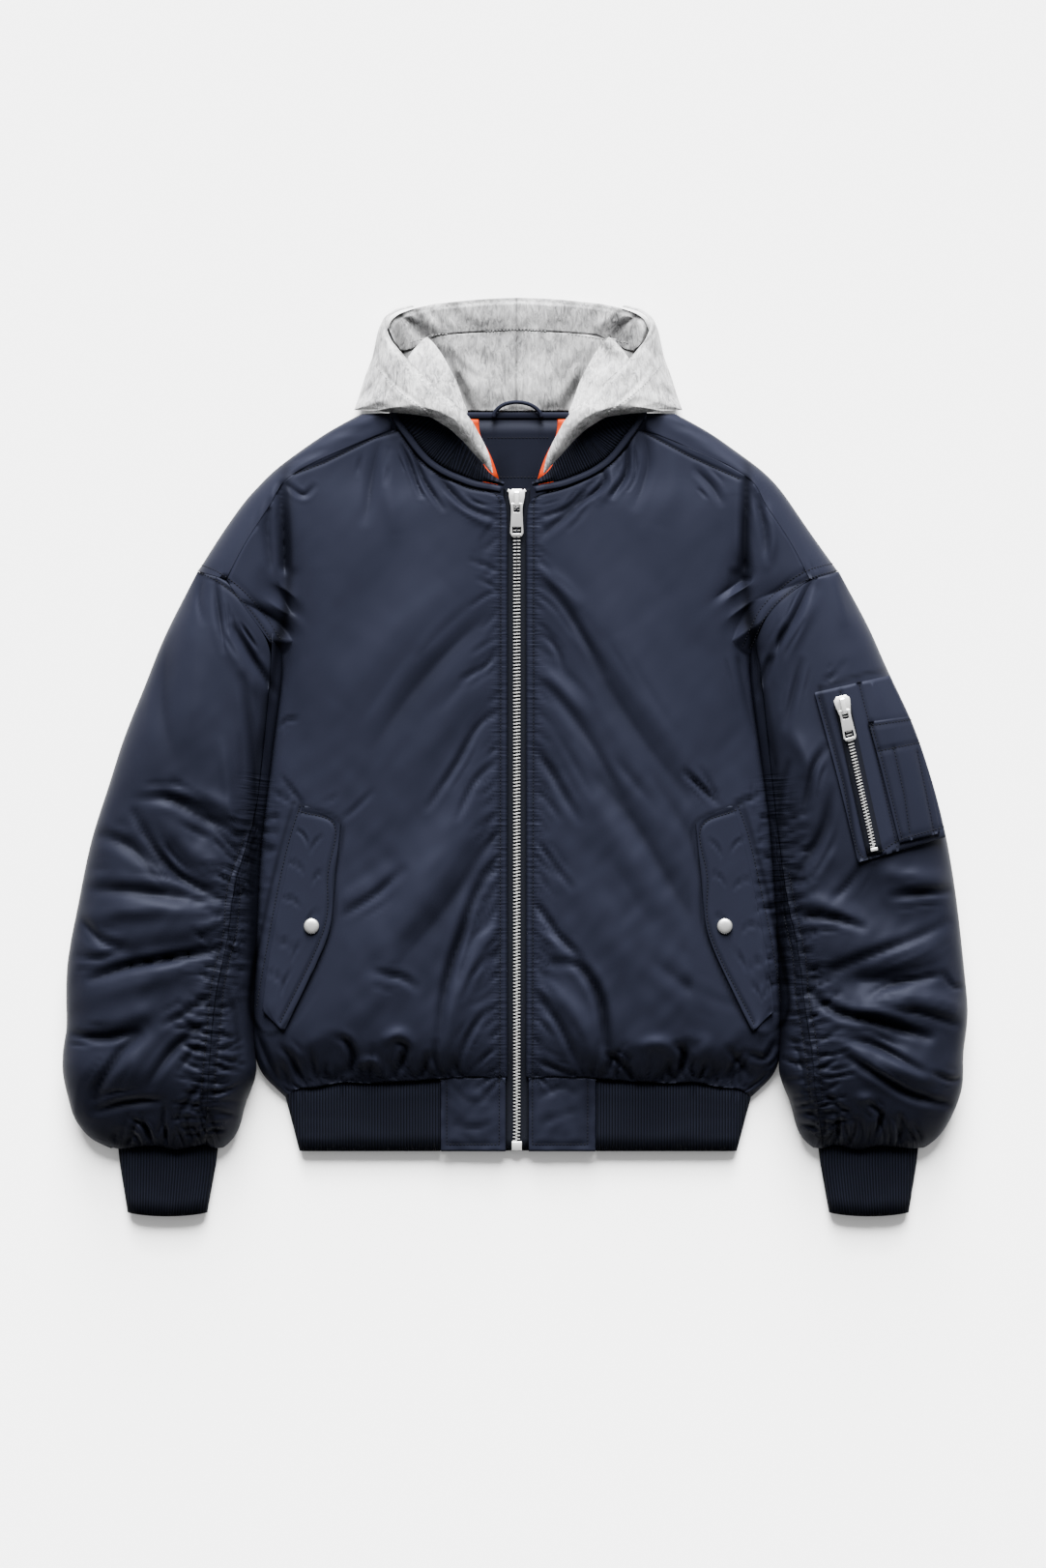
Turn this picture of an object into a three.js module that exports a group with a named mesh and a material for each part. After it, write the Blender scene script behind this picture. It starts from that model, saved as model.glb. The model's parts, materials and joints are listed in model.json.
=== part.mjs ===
// A hooded bomber jacket in padded satin, laid flat on its back with its front zip closed.
// Millimetres, +Z up. The jacket rests on z = 0, its hem points to -Y and its hood to +Y.
// Every panel is a wall of even thickness whose outer points follow one shared height over the floor.
// Half tables count x outwards from the middle, so one table serves both sides of the jacket.
import * as THREE from "three";

const GAP = 0.34; // between two pieces that are sewn edge to edge
const LIFT = 1; // under a piece that lies on a panel
const SHELL = 3.6; // satin, wadding and lining together
const KNIT = 3.2; // doubled rib knit
const JERSEY = 2.8; // doubled hood jersey
const SATIN = 1.8; // folded satin: flaps, facing, patches
const TAPE = 1.2; // zip tape

const ARMPIT_Y = 88; // under the arm, where sleeve and body part
const TIP_Y = 163.7; // end of the shoulder seam on the armhole
const VALLEY_TOP_Y = 264; // where the fold that runs up from the armpit dies out
const TOP_Y = 319; // the panels end here, under the hood
const UNDER_R = 14; // how far a side curls in before it touches the floor
const ZIP_X = -1.3; // the front zip lies a little left of the middle
const ZIP_HALF = 8.6; // from the zip's middle to the folded front edges
const TAB_X = 72; // outer end of the plain hem tabs
const HEM_Y = -368; // bottom of the hem rib

const NAVY = { color: 0x2f3547, roughness: 0.42, metalness: 0 };
const RIB_NAVY = { color: 0x1a1f30, roughness: 0.9, metalness: 0 };
const MARL = { color: 0xd2d2d2, roughness: 0.95, metalness: 0 };
const ORANGE = { color: 0xe85520, roughness: 0.5, metalness: 0 };
const SILVER = { color: 0xd8d8d6, roughness: 0.25, metalness: 1 };
const TAPE_NAVY = { color: 0x151926, roughness: 0.85, metalness: 0 };

// Outline of shoulder and sleeve: height y, distance from the middle.
const outlineRows = {
  left: [
    { y: 319, x: 148 }, { y: 304, x: 177 }, { y: 285, x: 204 }, { y: 269, x: 226 },
    { y: 257, x: 238 }, { y: 235, x: 258 }, { y: 205, x: 279 }, { y: 172, x: 299.5 },
    { y: 112, x: 331 }, { y: 64, x: 350 }, { y: 15, x: 370 }, { y: -28, x: 383 },
    { y: -69, x: 397 }, { y: -108, x: 406 }, { y: -147, x: 413 }, { y: -176, x: 420 },
    { y: -215, x: 421 }, { y: -248, x: 418 }, { y: -282, x: 421 }, { y: -307, x: 413 },
    { y: -339, x: 400 }, { y: -357, x: 391 }, { y: -366, x: 376 },
  ],
  right: [
    { y: 319, x: 148 }, { y: 303, x: 179 }, { y: 286, x: 202 }, { y: 268, x: 227 },
    { y: 257, x: 238 }, { y: 241, x: 251 }, { y: 204, x: 276 }, { y: 172, x: 299 },
    { y: 121, x: 328 }, { y: 77, x: 347 }, { y: 37, x: 367 }, { y: -15, x: 385 },
    { y: -47, x: 394 }, { y: -72, x: 400 }, { y: -119, x: 408 }, { y: -158, x: 413 },
    { y: -199, x: 417 }, { y: -241, x: 421 }, { y: -282, x: 415 }, { y: -302, x: 417 },
    { y: -331, x: 408 }, { y: -349, x: 398 }, { y: -362, x: 386 }, { y: -366, x: 375 },
  ],
};
// The side of the body, which goes on upwards as the deep fold in front of the armhole.
const sideRows = {
  left: [
    { y: 264, x: 218 }, { y: 132, x: 219 }, { y: 88, x: 218.5 }, { y: 54, x: 222 },
    { y: 11, x: 228 }, { y: -24, x: 232 }, { y: -63, x: 237 }, { y: -106, x: 240.5 },
    { y: -196, x: 244 }, { y: -250, x: 246 }, { y: -280, x: 244 }, { y: -294, x: 241 },
    { y: -308, x: 229 }, { y: -319, x: 216 },
  ],
  right: [
    { y: 264, x: 207 }, { y: 180, x: 207.5 }, { y: 118, x: 211 }, { y: 88, x: 215 },
    { y: 55, x: 218 }, { y: 2, x: 226 }, { y: -58, x: 234 }, { y: -106, x: 238 },
    { y: -196, x: 243 }, { y: -250, x: 244 }, { y: -280, x: 243 }, { y: -294, x: 240.5 },
    { y: -308, x: 230 }, { y: -319, x: 216 },
  ],
};
const armholeRows = {
  left: [
    { y: 88, x: 220 }, { y: 107, x: 231 }, { y: 124, x: 243 }, { y: 147, x: 260 }, { y: 163.7, x: 270 },
  ],
  right: [
    { y: 88, x: 216.5 }, { y: 107, x: 220 }, { y: 121, x: 225 }, { y: 140, x: 237 },
    { y: 154, x: 253 }, { y: 163.7, x: 270 },
  ],
};
const shoulderSeamRows = [
  { y: 163.7, x: 270 }, { y: 201, x: 252 }, { y: 229, x: 232 }, { y: 260, x: 214 },
  { y: 275, x: 186 }, { y: 288, x: 157 }, { y: 299, x: 131 }, { y: 305, x: 114 },
  { y: 312, x: 116 }, { y: 319, x: 119 },
];
// Inner edge of the front: up the zip, round the top corner and along the neckline.
const frontEdgeRows = [
  { y: 229, x: 8.6 }, { y: 239, x: 11 }, { y: 243, x: 15 }, { y: 245, x: 20 }, { y: 246.5, x: 32 },
  { y: 249, x: 44 }, { y: 254, x: 57 }, { y: 258, x: 67 }, { y: 263, x: 76 }, { y: 270, x: 86 },
  { y: 277, x: 93 }, { y: 287, x: 101 }, { y: 297, x: 108 }, { y: 305, x: 112.5 }, { y: 319, x: 118 },
];
// The gathered seam down the front of each sleeve.
const sleeveSeamRows = {
  left: [
    { y: 88, x: 229 }, { y: -30, x: 241 }, { y: -72, x: 248 }, { y: -119, x: 263 }, { y: -163, x: 267 },
    { y: -215, x: 279 }, { y: -266, x: 284 }, { y: -318, x: 288 }, { y: -366, x: 291 },
  ],
  right: [
    { y: 88, x: 225 }, { y: -60, x: 241 }, { y: -108, x: 247 }, { y: -150, x: 253 }, { y: -189, x: 261 },
    { y: -225, x: 264 }, { y: -261, x: 270 }, { y: -318, x: 276 }, { y: -366, x: 284 },
  ],
};
// The sleeve's inner side below the body.
const sleeveInnerRows = [
  { y: -294, x: 242.5 }, { y: -306, x: 245.5 }, { y: -316, x: 252 }, { y: -336, x: 255 },
  { y: -356, x: 263 }, { y: -366, x: 277 },
];
const backSeamRows = [
  { y: 88, x: 243 }, { y: 0, x: 272 }, { y: -120, x: 305 }, { y: -250, x: 324 }, { y: -366, x: 326 },
];
const hemSeamRows = [
  { x: 0, y: -299 }, { x: 74, y: -299 }, { x: 95, y: -303 }, { x: 118, y: -302 }, { x: 136, y: -306 },
  { x: 150, y: -304 }, { x: 165, y: -302 }, { x: 185, y: -308 }, { x: 208, y: -310 }, { x: 217, y: -318 },
];
// Heights of the front over the floor: at the zip, over the chest and at the flank.
const frontHeightRows = [
  { y: -320, zip: 15, chest: 16, flank: 15 }, { y: -299, zip: 17, chest: 19, flank: 19 },
  { y: -284, zip: 20, chest: 32, flank: 32 }, { y: -262, zip: 23, chest: 41, flank: 40 },
  { y: -200, zip: 26, chest: 46, flank: 42 }, { y: -80, zip: 27, chest: 48, flank: 41 },
  { y: 60, zip: 28, chest: 47, flank: 40 }, { y: 160, zip: 28, chest: 44, flank: 40 },
  { y: 226, zip: 28, chest: 38, flank: 38 }, { y: 262, zip: 28, chest: 31, flank: 34 },
  { y: 290, zip: 28, chest: 29, flank: 31 }, { y: 319, zip: 28, chest: 28, flank: 28 },
];
// Crest of the sleeve, height of its outer side, and how far its round side reaches in.
const sleeveHeightRows = [
  { y: 319, crest: 27, side: 12, round: 24 }, { y: 264, crest: 36, side: 13, round: 28 },
  { y: 172, crest: 46, side: 15, round: 40 }, { y: 88, crest: 54, side: 19, round: 52 },
  { y: -60, crest: 60, side: 22, round: 58 }, { y: -220, crest: 62, side: 24, round: 60 },
  { y: -300, crest: 58, side: 23, round: 56 }, { y: -335, crest: 46, side: 19, round: 46 },
  { y: -356, crest: 30, side: 14, round: 34 }, { y: -366, crest: 21, side: 10, round: 24 },
];
// Height over the floor of the side seam, and of the sleeve's inner side next to it.
const sideHeightRows = [
  { y: -320, body: 6.6, sleeve: 15 }, { y: -300, body: 10, sleeve: 16 }, { y: -280, body: 14, sleeve: 16 },
  { y: -256, body: 16, sleeve: 16 }, { y: 319, body: 16, sleeve: 16 },
];
// The largest folds: from one end to the other, half width, and height, below zero for a trough.
const bodyFolds = {
  left: [
    { x: 48, y: 170, toX: 150, toY: -10, wide: 30, high: 3 },
    { x: 96, y: 215, toX: 186, toY: 60, wide: 26, high: -2.5 },
    { x: 30, y: 60, toX: 120, toY: -120, wide: 26, high: -3 },
    { x: 40, y: -60, toX: 140, toY: -200, wide: 26, high: 3.5 },
    { x: 150, y: -70, toX: 110, toY: -180, wide: 22, high: -3 },
    { x: 200, y: -20, toX: 212, toY: 50, wide: 16, high: -3 },
    { x: 28, y: -150, toX: 86, toY: -235, wide: 20, high: -3 },
    { x: 170, y: -262, toX: 166, toY: -292, wide: 13, high: -9 },
    { x: 109, y: -252, toX: 110, toY: -292, wide: 14, high: -9 },
    { x: 138, y: -268, toX: 140, toY: -294, wide: 12, high: 4 },
    { x: 84, y: -268, toX: 84, toY: -292, wide: 12, high: 4 },
    { x: 204, y: -262, toX: 196, toY: -300, wide: 12, high: -5 },
  ],
  right: [
    { x: 44, y: 190, toX: 140, toY: 20, wide: 28, high: 3 },
    { x: 30, y: 110, toX: 70, toY: 20, wide: 20, high: -3 },
    { x: 92, y: 210, toX: 180, toY: 70, wide: 26, high: -2.5 },
    { x: 36, y: -30, toX: 130, toY: -150, wide: 26, high: -3 },
    { x: 60, y: -130, toX: 150, toY: -220, wide: 24, high: 3.5 },
    { x: 196, y: -20, toX: 206, toY: 50, wide: 16, high: -3 },
    { x: 86, y: -258, toX: 84, toY: -292, wide: 14, high: -9 },
    { x: 157, y: -244, toX: 156, toY: -292, wide: 15, high: -9 },
    { x: 120, y: -268, toX: 118, toY: -294, wide: 13, high: 4 },
    { x: 186, y: -268, toX: 184, toY: -296, wide: 12, high: 4 },
    { x: 206, y: -266, toX: 202, toY: -300, wide: 12, high: -7 },
  ],
};
const sleeveFolds = {
  left: [
    { x: 262, y: 120, toX: 230, toY: 56, wide: 16, high: -6 },
    { x: 357, y: -48, toX: 284, toY: -138, wide: 17, high: -9 },
    { x: 330, y: -52, toX: 262, toY: -92, wide: 15, high: -6 },
    { x: 404, y: -148, toX: 352, toY: -182, wide: 14, high: -8 },
    { x: 396, y: -206, toX: 268, toY: -182, wide: 15, high: -10 },
    { x: 410, y: -256, toX: 330, toY: -260, wide: 14, high: -8 },
    { x: 392, y: -318, toX: 318, toY: -322, wide: 13, high: -8 },
    { x: 372, y: -116, toX: 300, toY: -166, wide: 17, high: 6 },
    { x: 396, y: -232, toX: 300, toY: -222, wide: 15, high: 6 },
    { x: 400, y: -290, toX: 310, toY: -288, wide: 16, high: 6 },
    { x: 312, y: 40, toX: 350, toY: -20, wide: 26, high: 4 },
  ],
  right: [
    { x: 256, y: 118, toX: 226, toY: 40, wide: 16, high: -6 },
    { x: 290, y: -112, toX: 250, toY: -76, wide: 13, high: -7 },
    { x: 344, y: -118, toX: 268, toY: -146, wide: 15, high: -8 },
    { x: 400, y: -150, toX: 330, toY: -158, wide: 14, high: -7 },
    { x: 402, y: -212, toX: 262, toY: -206, wide: 15, high: -10 },
    { x: 398, y: -262, toX: 310, toY: -250, wide: 14, high: -8 },
    { x: 398, y: -312, toX: 316, toY: -318, wide: 13, high: -8 },
    { x: 372, y: -184, toX: 284, toY: -178, wide: 15, high: 6 },
    { x: 392, y: -238, toX: 296, toY: -230, wide: 15, high: 6 },
    { x: 396, y: -288, toX: 300, toY: -286, wide: 16, high: 6 },
    { x: 262, y: 20, toX: 284, toY: -60, wide: 20, high: 4 },
  ],
};
// Hood side panel: its front edge and its outer edge, row by row from the top to the tip at the neck.
const hoodSideRows = [
  { rimX: 97, rimY: 419.5, rimZ: 13, edgeX: 99, edgeY: 421, edgeZ: 10, crown: 0.5 },
  { rimX: 111.6, rimY: 415.5, rimZ: 16, edgeX: 115, edgeY: 417.5, edgeZ: 8, crown: 1 },
  { rimX: 119.5, rimY: 410.5, rimZ: 19, edgeX: 125, edgeY: 410.5, edgeZ: 6.5, crown: 2 },
  { rimX: 123, rimY: 404, rimZ: 22, edgeX: 130.5, edgeY: 399, edgeZ: 5.8, crown: 3 },
  { rimX: 122, rimY: 396, rimZ: 25, edgeX: 133, edgeY: 388, edgeZ: 5.8, crown: 4 },
  { rimX: 117.5, rimY: 386, rimZ: 29, edgeX: 136, edgeY: 373, edgeZ: 5.8, crown: 6 },
  { rimX: 105, rimY: 371, rimZ: 34, edgeX: 142.5, edgeY: 356, edgeZ: 5.8, crown: 9 },
  { rimX: 92, rimY: 357.5, rimZ: 39, edgeX: 148.5, edgeY: 337, edgeZ: 6, crown: 11 },
  { rimX: 79, rimY: 345.6, rimZ: 44, edgeX: 153, edgeY: 323, edgeZ: 14, crown: 11 },
  { rimX: 63, rimY: 330, rimZ: 48, edgeX: 134, edgeY: 321, edgeZ: 31.4, crown: 9 },
  { rimX: 50.5, rimY: 320, rimZ: 50, edgeX: 101, edgeY: 318, edgeZ: 35.4, crown: 8 },
  { rimX: 42.3, rimY: 310, rimZ: 49, edgeX: 81, edgeY: 315, edgeZ: 38.5, crown: 7 },
  { rimX: 37.3, rimY: 300.5, rimZ: 47, edgeX: 63.5, edgeY: 304, edgeZ: 39, crown: 6 },
  { rimX: 31.5, rimY: 290.3, rimZ: 44.5, edgeX: 51, edgeY: 292.5, edgeZ: 38, crown: 5 },
  { rimX: 27.5, rimY: 281, rimZ: 42, edgeX: 42, edgeY: 282, edgeZ: 37, crown: 4 },
  { rimX: 24.8, rimY: 271.4, rimZ: 39.5, edgeX: 33, edgeY: 272.5, edgeZ: 36, crown: 2 },
  { rimX: 23.4, rimY: 262.5, rimZ: 36.5, edgeX: 25, edgeY: 263, edgeZ: 35.5, crown: 0.5 },
];
// The front edge of the hood folded in: its free edge, and where it goes under the side panel.
const hoodFlapRows = [
  { freeX: 84.5, freeY: 390.5, freeZ: 20, foldX: 89, foldY: 388, foldZ: 19.5 },
  { freeX: 78, freeY: 384, freeZ: 24, foldX: 96.5, foldY: 380, foldZ: 23 },
  { freeX: 70.2, freeY: 373, freeZ: 28, foldX: 103, foldY: 370, foldZ: 28 },
  { freeX: 63, freeY: 359.6, freeZ: 32, foldX: 97, foldY: 357, foldZ: 33 },
  { freeX: 56.7, freeY: 347, freeZ: 36, foldX: 83, foldY: 343, foldZ: 39 },
  { freeX: 53.1, freeY: 336.2, freeZ: 39.5, foldX: 69, foldY: 329, foldZ: 43 },
  { freeX: 50, freeY: 327, freeZ: 42.5, foldX: 56, foldY: 319, foldZ: 45 },
  { freeX: 46.5, freeY: 320, freeZ: 44, foldX: 49, foldY: 313, foldZ: 45 },
];
// Inside of the hood: where the face band is sewn on, and the front edge above it.
const hoodBandRows = [
  { seamX: 0, seamY: 398.3, seamZ: 9, rimX: 0, rimY: 428.5, rimZ: 13 },
  { seamX: 22, seamY: 397, seamZ: 9, rimX: 26, rimY: 427.6, rimZ: 13 },
  { seamX: 42, seamY: 395.8, seamZ: 9, rimX: 50, rimY: 425.8, rimZ: 13 },
  { seamX: 63, seamY: 394.4, seamZ: 9, rimX: 78, rimY: 422.6, rimZ: 13 },
  { seamX: 78, seamY: 392.6, seamZ: 10, rimX: 95, rimY: 418.4, rimZ: 14.5 },
  { seamX: 89, seamY: 389.6, seamZ: 11, rimX: 108.5, rimY: 413.5, rimZ: 17 },
  { seamX: 99, seamY: 387, seamZ: 13, rimX: 116, rimY: 407.5, rimZ: 20 },
  { seamX: 106, seamY: 385.5, seamZ: 15, rimX: 118.5, rimY: 400.5, rimZ: 22.5 },
];
// Slant pocket flap, from its top corner to its bottom corner: outer edge and inner edge.
const flapRows = [
  { y: -46, outer: 199.5, inner: 196 }, { y: -61, outer: 203.5, inner: 164.5 },
  { y: -78, outer: 208.5, inner: 166.2 }, { y: -110, outer: 216, inner: 169.6 },
  { y: -139, outer: 222, inner: 172 }, { y: -165, outer: 227.2, inner: 174 },
  { y: -206, outer: 234.5, inner: 193.6 }, { y: -236, outer: 237.4, inner: 208 },
  { y: -254, outer: 219, inner: 216.6 },
];
// Sleeve pocket: left and right edges down the sleeve.
const sleevePocketRows = [
  { left: 274, leftY: 59, right: 344, rightY: 75 }, { left: 281, leftY: 33, right: 358, rightY: 46 },
  { left: 288, leftY: 8, right: 371, rightY: 16 }, { left: 295, leftY: -18, right: 381, rightY: -14 },
  { left: 301, leftY: -43, right: 388, rightY: -38 }, { left: 307, leftY: -68, right: 392, rightY: -58 },
  { left: 314, leftY: -98, right: 396, rightY: -75 },
];
const penPocketRows = [
  { left: 323.6, leftY: 31.7, right: 362, rightY: 37 }, { left: 329, leftY: 12, right: 368.5, rightY: 20 },
  { left: 334, leftY: -6, right: 374, rightY: 2 }, { left: 340, leftY: -30, right: 381, rightY: -24 },
  { left: 346.5, leftY: -56, right: 387, rightY: -48 },
  { left: 352.5, leftY: -80, right: 390.5, rightY: -71 },
];

const clamp = (value, low = 0, high = 1) => Math.min(high, Math.max(low, value));
const mix = (a, b, t) => a + (b - a) * t;
const smooth = (t) => clamp(t) ** 2 * (3 - 2 * clamp(t));
const range = (n) => Array.from({ length: n }, (_, i) => i);

// A smooth line through a table, from one named column to another, held level past its ends.
function line(table, from, to) {
  const rows = [...table].sort((p, q) => p[from] - q[from]);
  const last = rows.length - 1;
  const slope = (i) => {
    const a = rows[Math.max(0, i - 1)];
    const b = rows[Math.min(last, i + 1)];
    return (b[to] - a[to]) / (b[from] - a[from]);
  };
  return (value) => {
    const at = clamp(value, rows[0][from], rows[last][from]);
    let i = 0;
    while (i < last - 1 && rows[i + 1][from] < at) i += 1;
    const span = rows[i + 1][from] - rows[i][from];
    const t = (at - rows[i][from]) / span;
    const rise = rows[i + 1][to] - rows[i][to];
    const bend = t * (1 - t) * ((1 - t) * (slope(i) * span - rise) - t * (slope(i + 1) * span - rise));
    return rows[i][to] + rise * t + bend;
  };
}

const both = (tables, from, to) => ({
  left: line(tables.left, from, to),
  right: line(tables.right, from, to),
});
const outline = both(outlineRows, "y", "x");
const sideEdge = both(sideRows, "y", "x");
const armhole = both(armholeRows, "y", "x");
const sleeveSeam = both(sleeveSeamRows, "y", "x");
const shoulderSeam = line(shoulderSeamRows, "y", "x");
const frontEdge = line(frontEdgeRows, "y", "x");
const sleeveInner = line(sleeveInnerRows, "y", "x");
const backSeam = line(backSeamRows, "y", "x");
const hemSeam = line(hemSeamRows, "x", "y");
const sideHeight = line(sideHeightRows, "y", "body");
const innerHeight = line(
  [...sideHeightRows, { y: -344, sleeve: 12 }, { y: -366, sleeve: 8 }],
  "y",
  "sleeve",
);
const zipHeight = line(frontHeightRows, "y", "zip");
const chestHeight = line(frontHeightRows, "y", "chest");
const flankHeight = line(frontHeightRows, "y", "flank");
const crestHeight = line(sleeveHeightRows, "y", "crest");
const sleeveSide = line(sleeveHeightRows, "y", "side");
const sleeveRound = line(sleeveHeightRows, "y", "round");

function foldHeight(folds, x, y) {
  let sum = 0;
  for (const fold of folds) {
    const runX = fold.toX - fold.x;
    const runY = fold.toY - fold.y;
    const along = clamp(((x - fold.x) * runX + (y - fold.y) * runY) / (runX * runX + runY * runY));
    const off = Math.hypot(x - fold.x - along * runX, y - fold.y - along * runY) / fold.wide;
    const taper = 0.4 + 0.6 * Math.sin(Math.PI * along);
    if (off < 1) sum += fold.high * Math.cos((off * Math.PI) / 2) ** 2 * taper;
  }
  return sum;
}

// A quarter circle that rises from 0 at an edge to 1 at the distance reach.
const roundEdge = (distance, reach) =>
  distance >= reach ? 1 : Math.sqrt(Math.max(0, 1 - (1 - Math.max(0, distance) / reach) ** 2));

const CHEST_X = 100;
const FLANK_X = 190;
function frontCrest(x, y) {
  if (x < CHEST_X) {
    const t = clamp((x - ZIP_HALF) / (CHEST_X - ZIP_HALF));
    return mix(zipHeight(y), chestHeight(y), 1 - (1 - t) ** 2);
  }
  const t = clamp((x - CHEST_X) / (FLANK_X - CHEST_X), 0, 1.3);
  return mix(chestHeight(y), flankHeight(y), t * t);
}

const BODY_ROUND = 26; // how far the round side of the body reaches in
const SLEEVE_ROUND = 40; // the same on the inner side of the sleeve
// Height of the jacket's upper face over the floor. Body and sleeve meet in a fold at the side edge,
// which reaches the side seam's height below the armpit and fills up above it.
function topHeight(side, x, y) {
  const fold = y < -294 && x > 236 ? sleeveInner(y) : sideEdge[side](y);
  const out = outline[side](y);
  const onSleeve = x > fold;
  const filled = smooth((y - ARMPIT_Y) / (VALLEY_TOP_Y - ARMPIT_Y));
  const dip = mix(roundEdge(Math.abs(x - fold), onSleeve ? SLEEVE_ROUND : BODY_ROUND), 1, filled);
  const share = y > ARMPIT_Y ? smooth((x - fold + 14) / 28) : Number(onSleeve);
  let crest = 0;
  if (share < 1) crest += (1 - share) * (frontCrest(x, y) + foldHeight(bodyFolds[side], x, y));
  if (share > 0) crest += share * (crestHeight(y) + foldHeight(sleeveFolds[side], x, y));
  const outward = clamp((x - fold) / (out - fold));
  const low = onSleeve ? mix(innerHeight(y), sleeveSide(y), outward) : sideHeight(y);
  return low + (crest - low) * dip * roundEdge(out - x, sleeveRound(y));
}

// Rows shared by front, back and sleeves, so that sewn edges have the same points.
const LOW_ROWS = [-302, -290, -274, -256];
const SIDE_ROWS = 13;
const ROW_HEIGHTS = [
  ...LOW_ROWS,
  ...range(SIDE_ROWS).map((i) => mix(-234, ARMPIT_Y, i / (SIDE_ROWS - 1))),
  ...range(4).map((i) => mix(ARMPIT_Y, TIP_Y, (i + 1) / 4)),
  188, 212, 232, 242, 246, 250, 258, 270, 286, 303,
];
const ARMPIT_ROW = LOW_ROWS.length + SIDE_ROWS - 1;
const TIP_ROW = ARMPIT_ROW + 4;
const HEM_SHARE = [1, 0.6, 0.28, 0]; // how much of the hem's wave each of the lowest rows follows
const TIP_SLOPE = 0.3; // the armhole seam rises towards the tip of the shoulder

function rowY(k, x) {
  if (k < HEM_SHARE.length) return ROW_HEIGHTS[k] + HEM_SHARE[k] * (hemSeam(x) - LOW_ROWS[0]);
  if (k === TIP_ROW) return TIP_Y + TIP_SLOPE * Math.max(0, x - 270);
  return ROW_HEIGHTS[k];
}

// The x of an edge on a row whose own height depends on x.
function edgeOn(k, edge) {
  let x = edge(ROW_HEIGHTS[k]);
  for (let i = 0; i < 4; i += 1) x = edge(rowY(k, x));
  return x;
}

// An edge line moved sideways by half a seam gap, measured across the seam.
const inset = (edge, y, sign) => {
  const lean = (edge(y + 1) - edge(y - 1)) / 2;
  return edge(y) + (sign * GAP * Math.hypot(1, lean)) / 2;
};

// One open sheet of cloth: points joined where they coincide, and faces.
class Sheet {
  points = [];
  leans = [];
  faces = [];
  known = new Map();
  add(p) {
    const key = [p.x, p.y, p.z].map((n) => Math.round(n * 500)).join();
    if (!this.known.has(key)) {
      this.known.set(key, this.points.length);
      this.points.push(new THREE.Vector3(p.x, p.y, p.z));
      this.leans.push(p.lean ?? null);
    }
    return this.known.get(key);
  }
  grid(rows, flip = false) {
    const ids = rows.map((row) => row.map((p) => this.add(p)));
    for (let i = 0; i + 1 < ids.length; i += 1)
      for (let j = 0; j + 1 < ids[i].length; j += 1) {
        const [a, b, c, d] = [ids[i][j], ids[i][j + 1], ids[i + 1][j + 1], ids[i + 1][j]];
        this.face(a, b, c, flip);
        this.face(a, c, d, flip);
      }
    return this;
  }
  face(a, b, c, flip) {
    if (a === b || b === c || a === c) return;
    this.faces.push(flip ? [a, c, b] : [a, b, c]);
  }
}

// Gives a sheet its wall: each point gets a partner inside, along its lean or against its normal.
function wallOf(sheet, thickness, inner = null) {
  const normals = sheet.points.map(() => new THREE.Vector3());
  const edges = new Map();
  for (const face of sheet.faces) {
    const [a, b, c] = face.map((i) => sheet.points[i]);
    const n = b.clone().sub(a).cross(c.clone().sub(a));
    face.forEach((i, at) => {
      normals[i].add(n);
      const next = face[(at + 1) % 3];
      if (!edges.delete(`${next},${i}`)) edges.set(`${i},${next}`, [i, next]);
    });
  }
  const count = sheet.points.length;
  const positions = sheet.points.map((p) => p.toArray());
  sheet.points.forEach((p, i) => {
    const lean = sheet.leans[i];
    const way = lean ? new THREE.Vector3(...lean) : normals[i].clone().normalize().negate();
    const within = p.clone().addScaledVector(way, thickness);
    if (inner) inner(within, p);
    positions.push(within.toArray());
  });
  const index = [];
  for (const [a, b, c] of sheet.faces) index.push(a, b, c, a + count, c + count, b + count);
  for (const [a, b] of edges.values()) index.push(b, a, a + count, b, a + count, b + count);
  return closed(positions, index);
}

function closed(positions, index) {
  const geometry = new THREE.BufferGeometry();
  geometry.setAttribute("position", new THREE.Float32BufferAttribute(positions.flat(), 3));
  geometry.setIndex(index);
  geometry.computeVertexNormals();
  return geometry;
}

const jacket = new THREE.Group();
function node(name, geometry, look) {
  const mesh = new THREE.Mesh(geometry, new THREE.MeshStandardMaterial(look));
  mesh.name = name;
  jacket.add(mesh);
  return mesh;
}

const SIDES = ["left", "right"];
const signOf = (side) => (side === "left" ? -1 : 1);
const DOWN = [0, 0, -1];
const UP = [0, 0, 1];
// A point given by its distance from the middle, on one side of the jacket.
const at = (side, x, y, z, lean) => ({
  x: signOf(side) * x,
  y,
  z,
  lean: lean && [signOf(side) * lean[0], lean[1], lean[2]],
});
const arc = (steps) => range(steps + 1).map((i) => (i / steps) * (Math.PI / 2));

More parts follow.
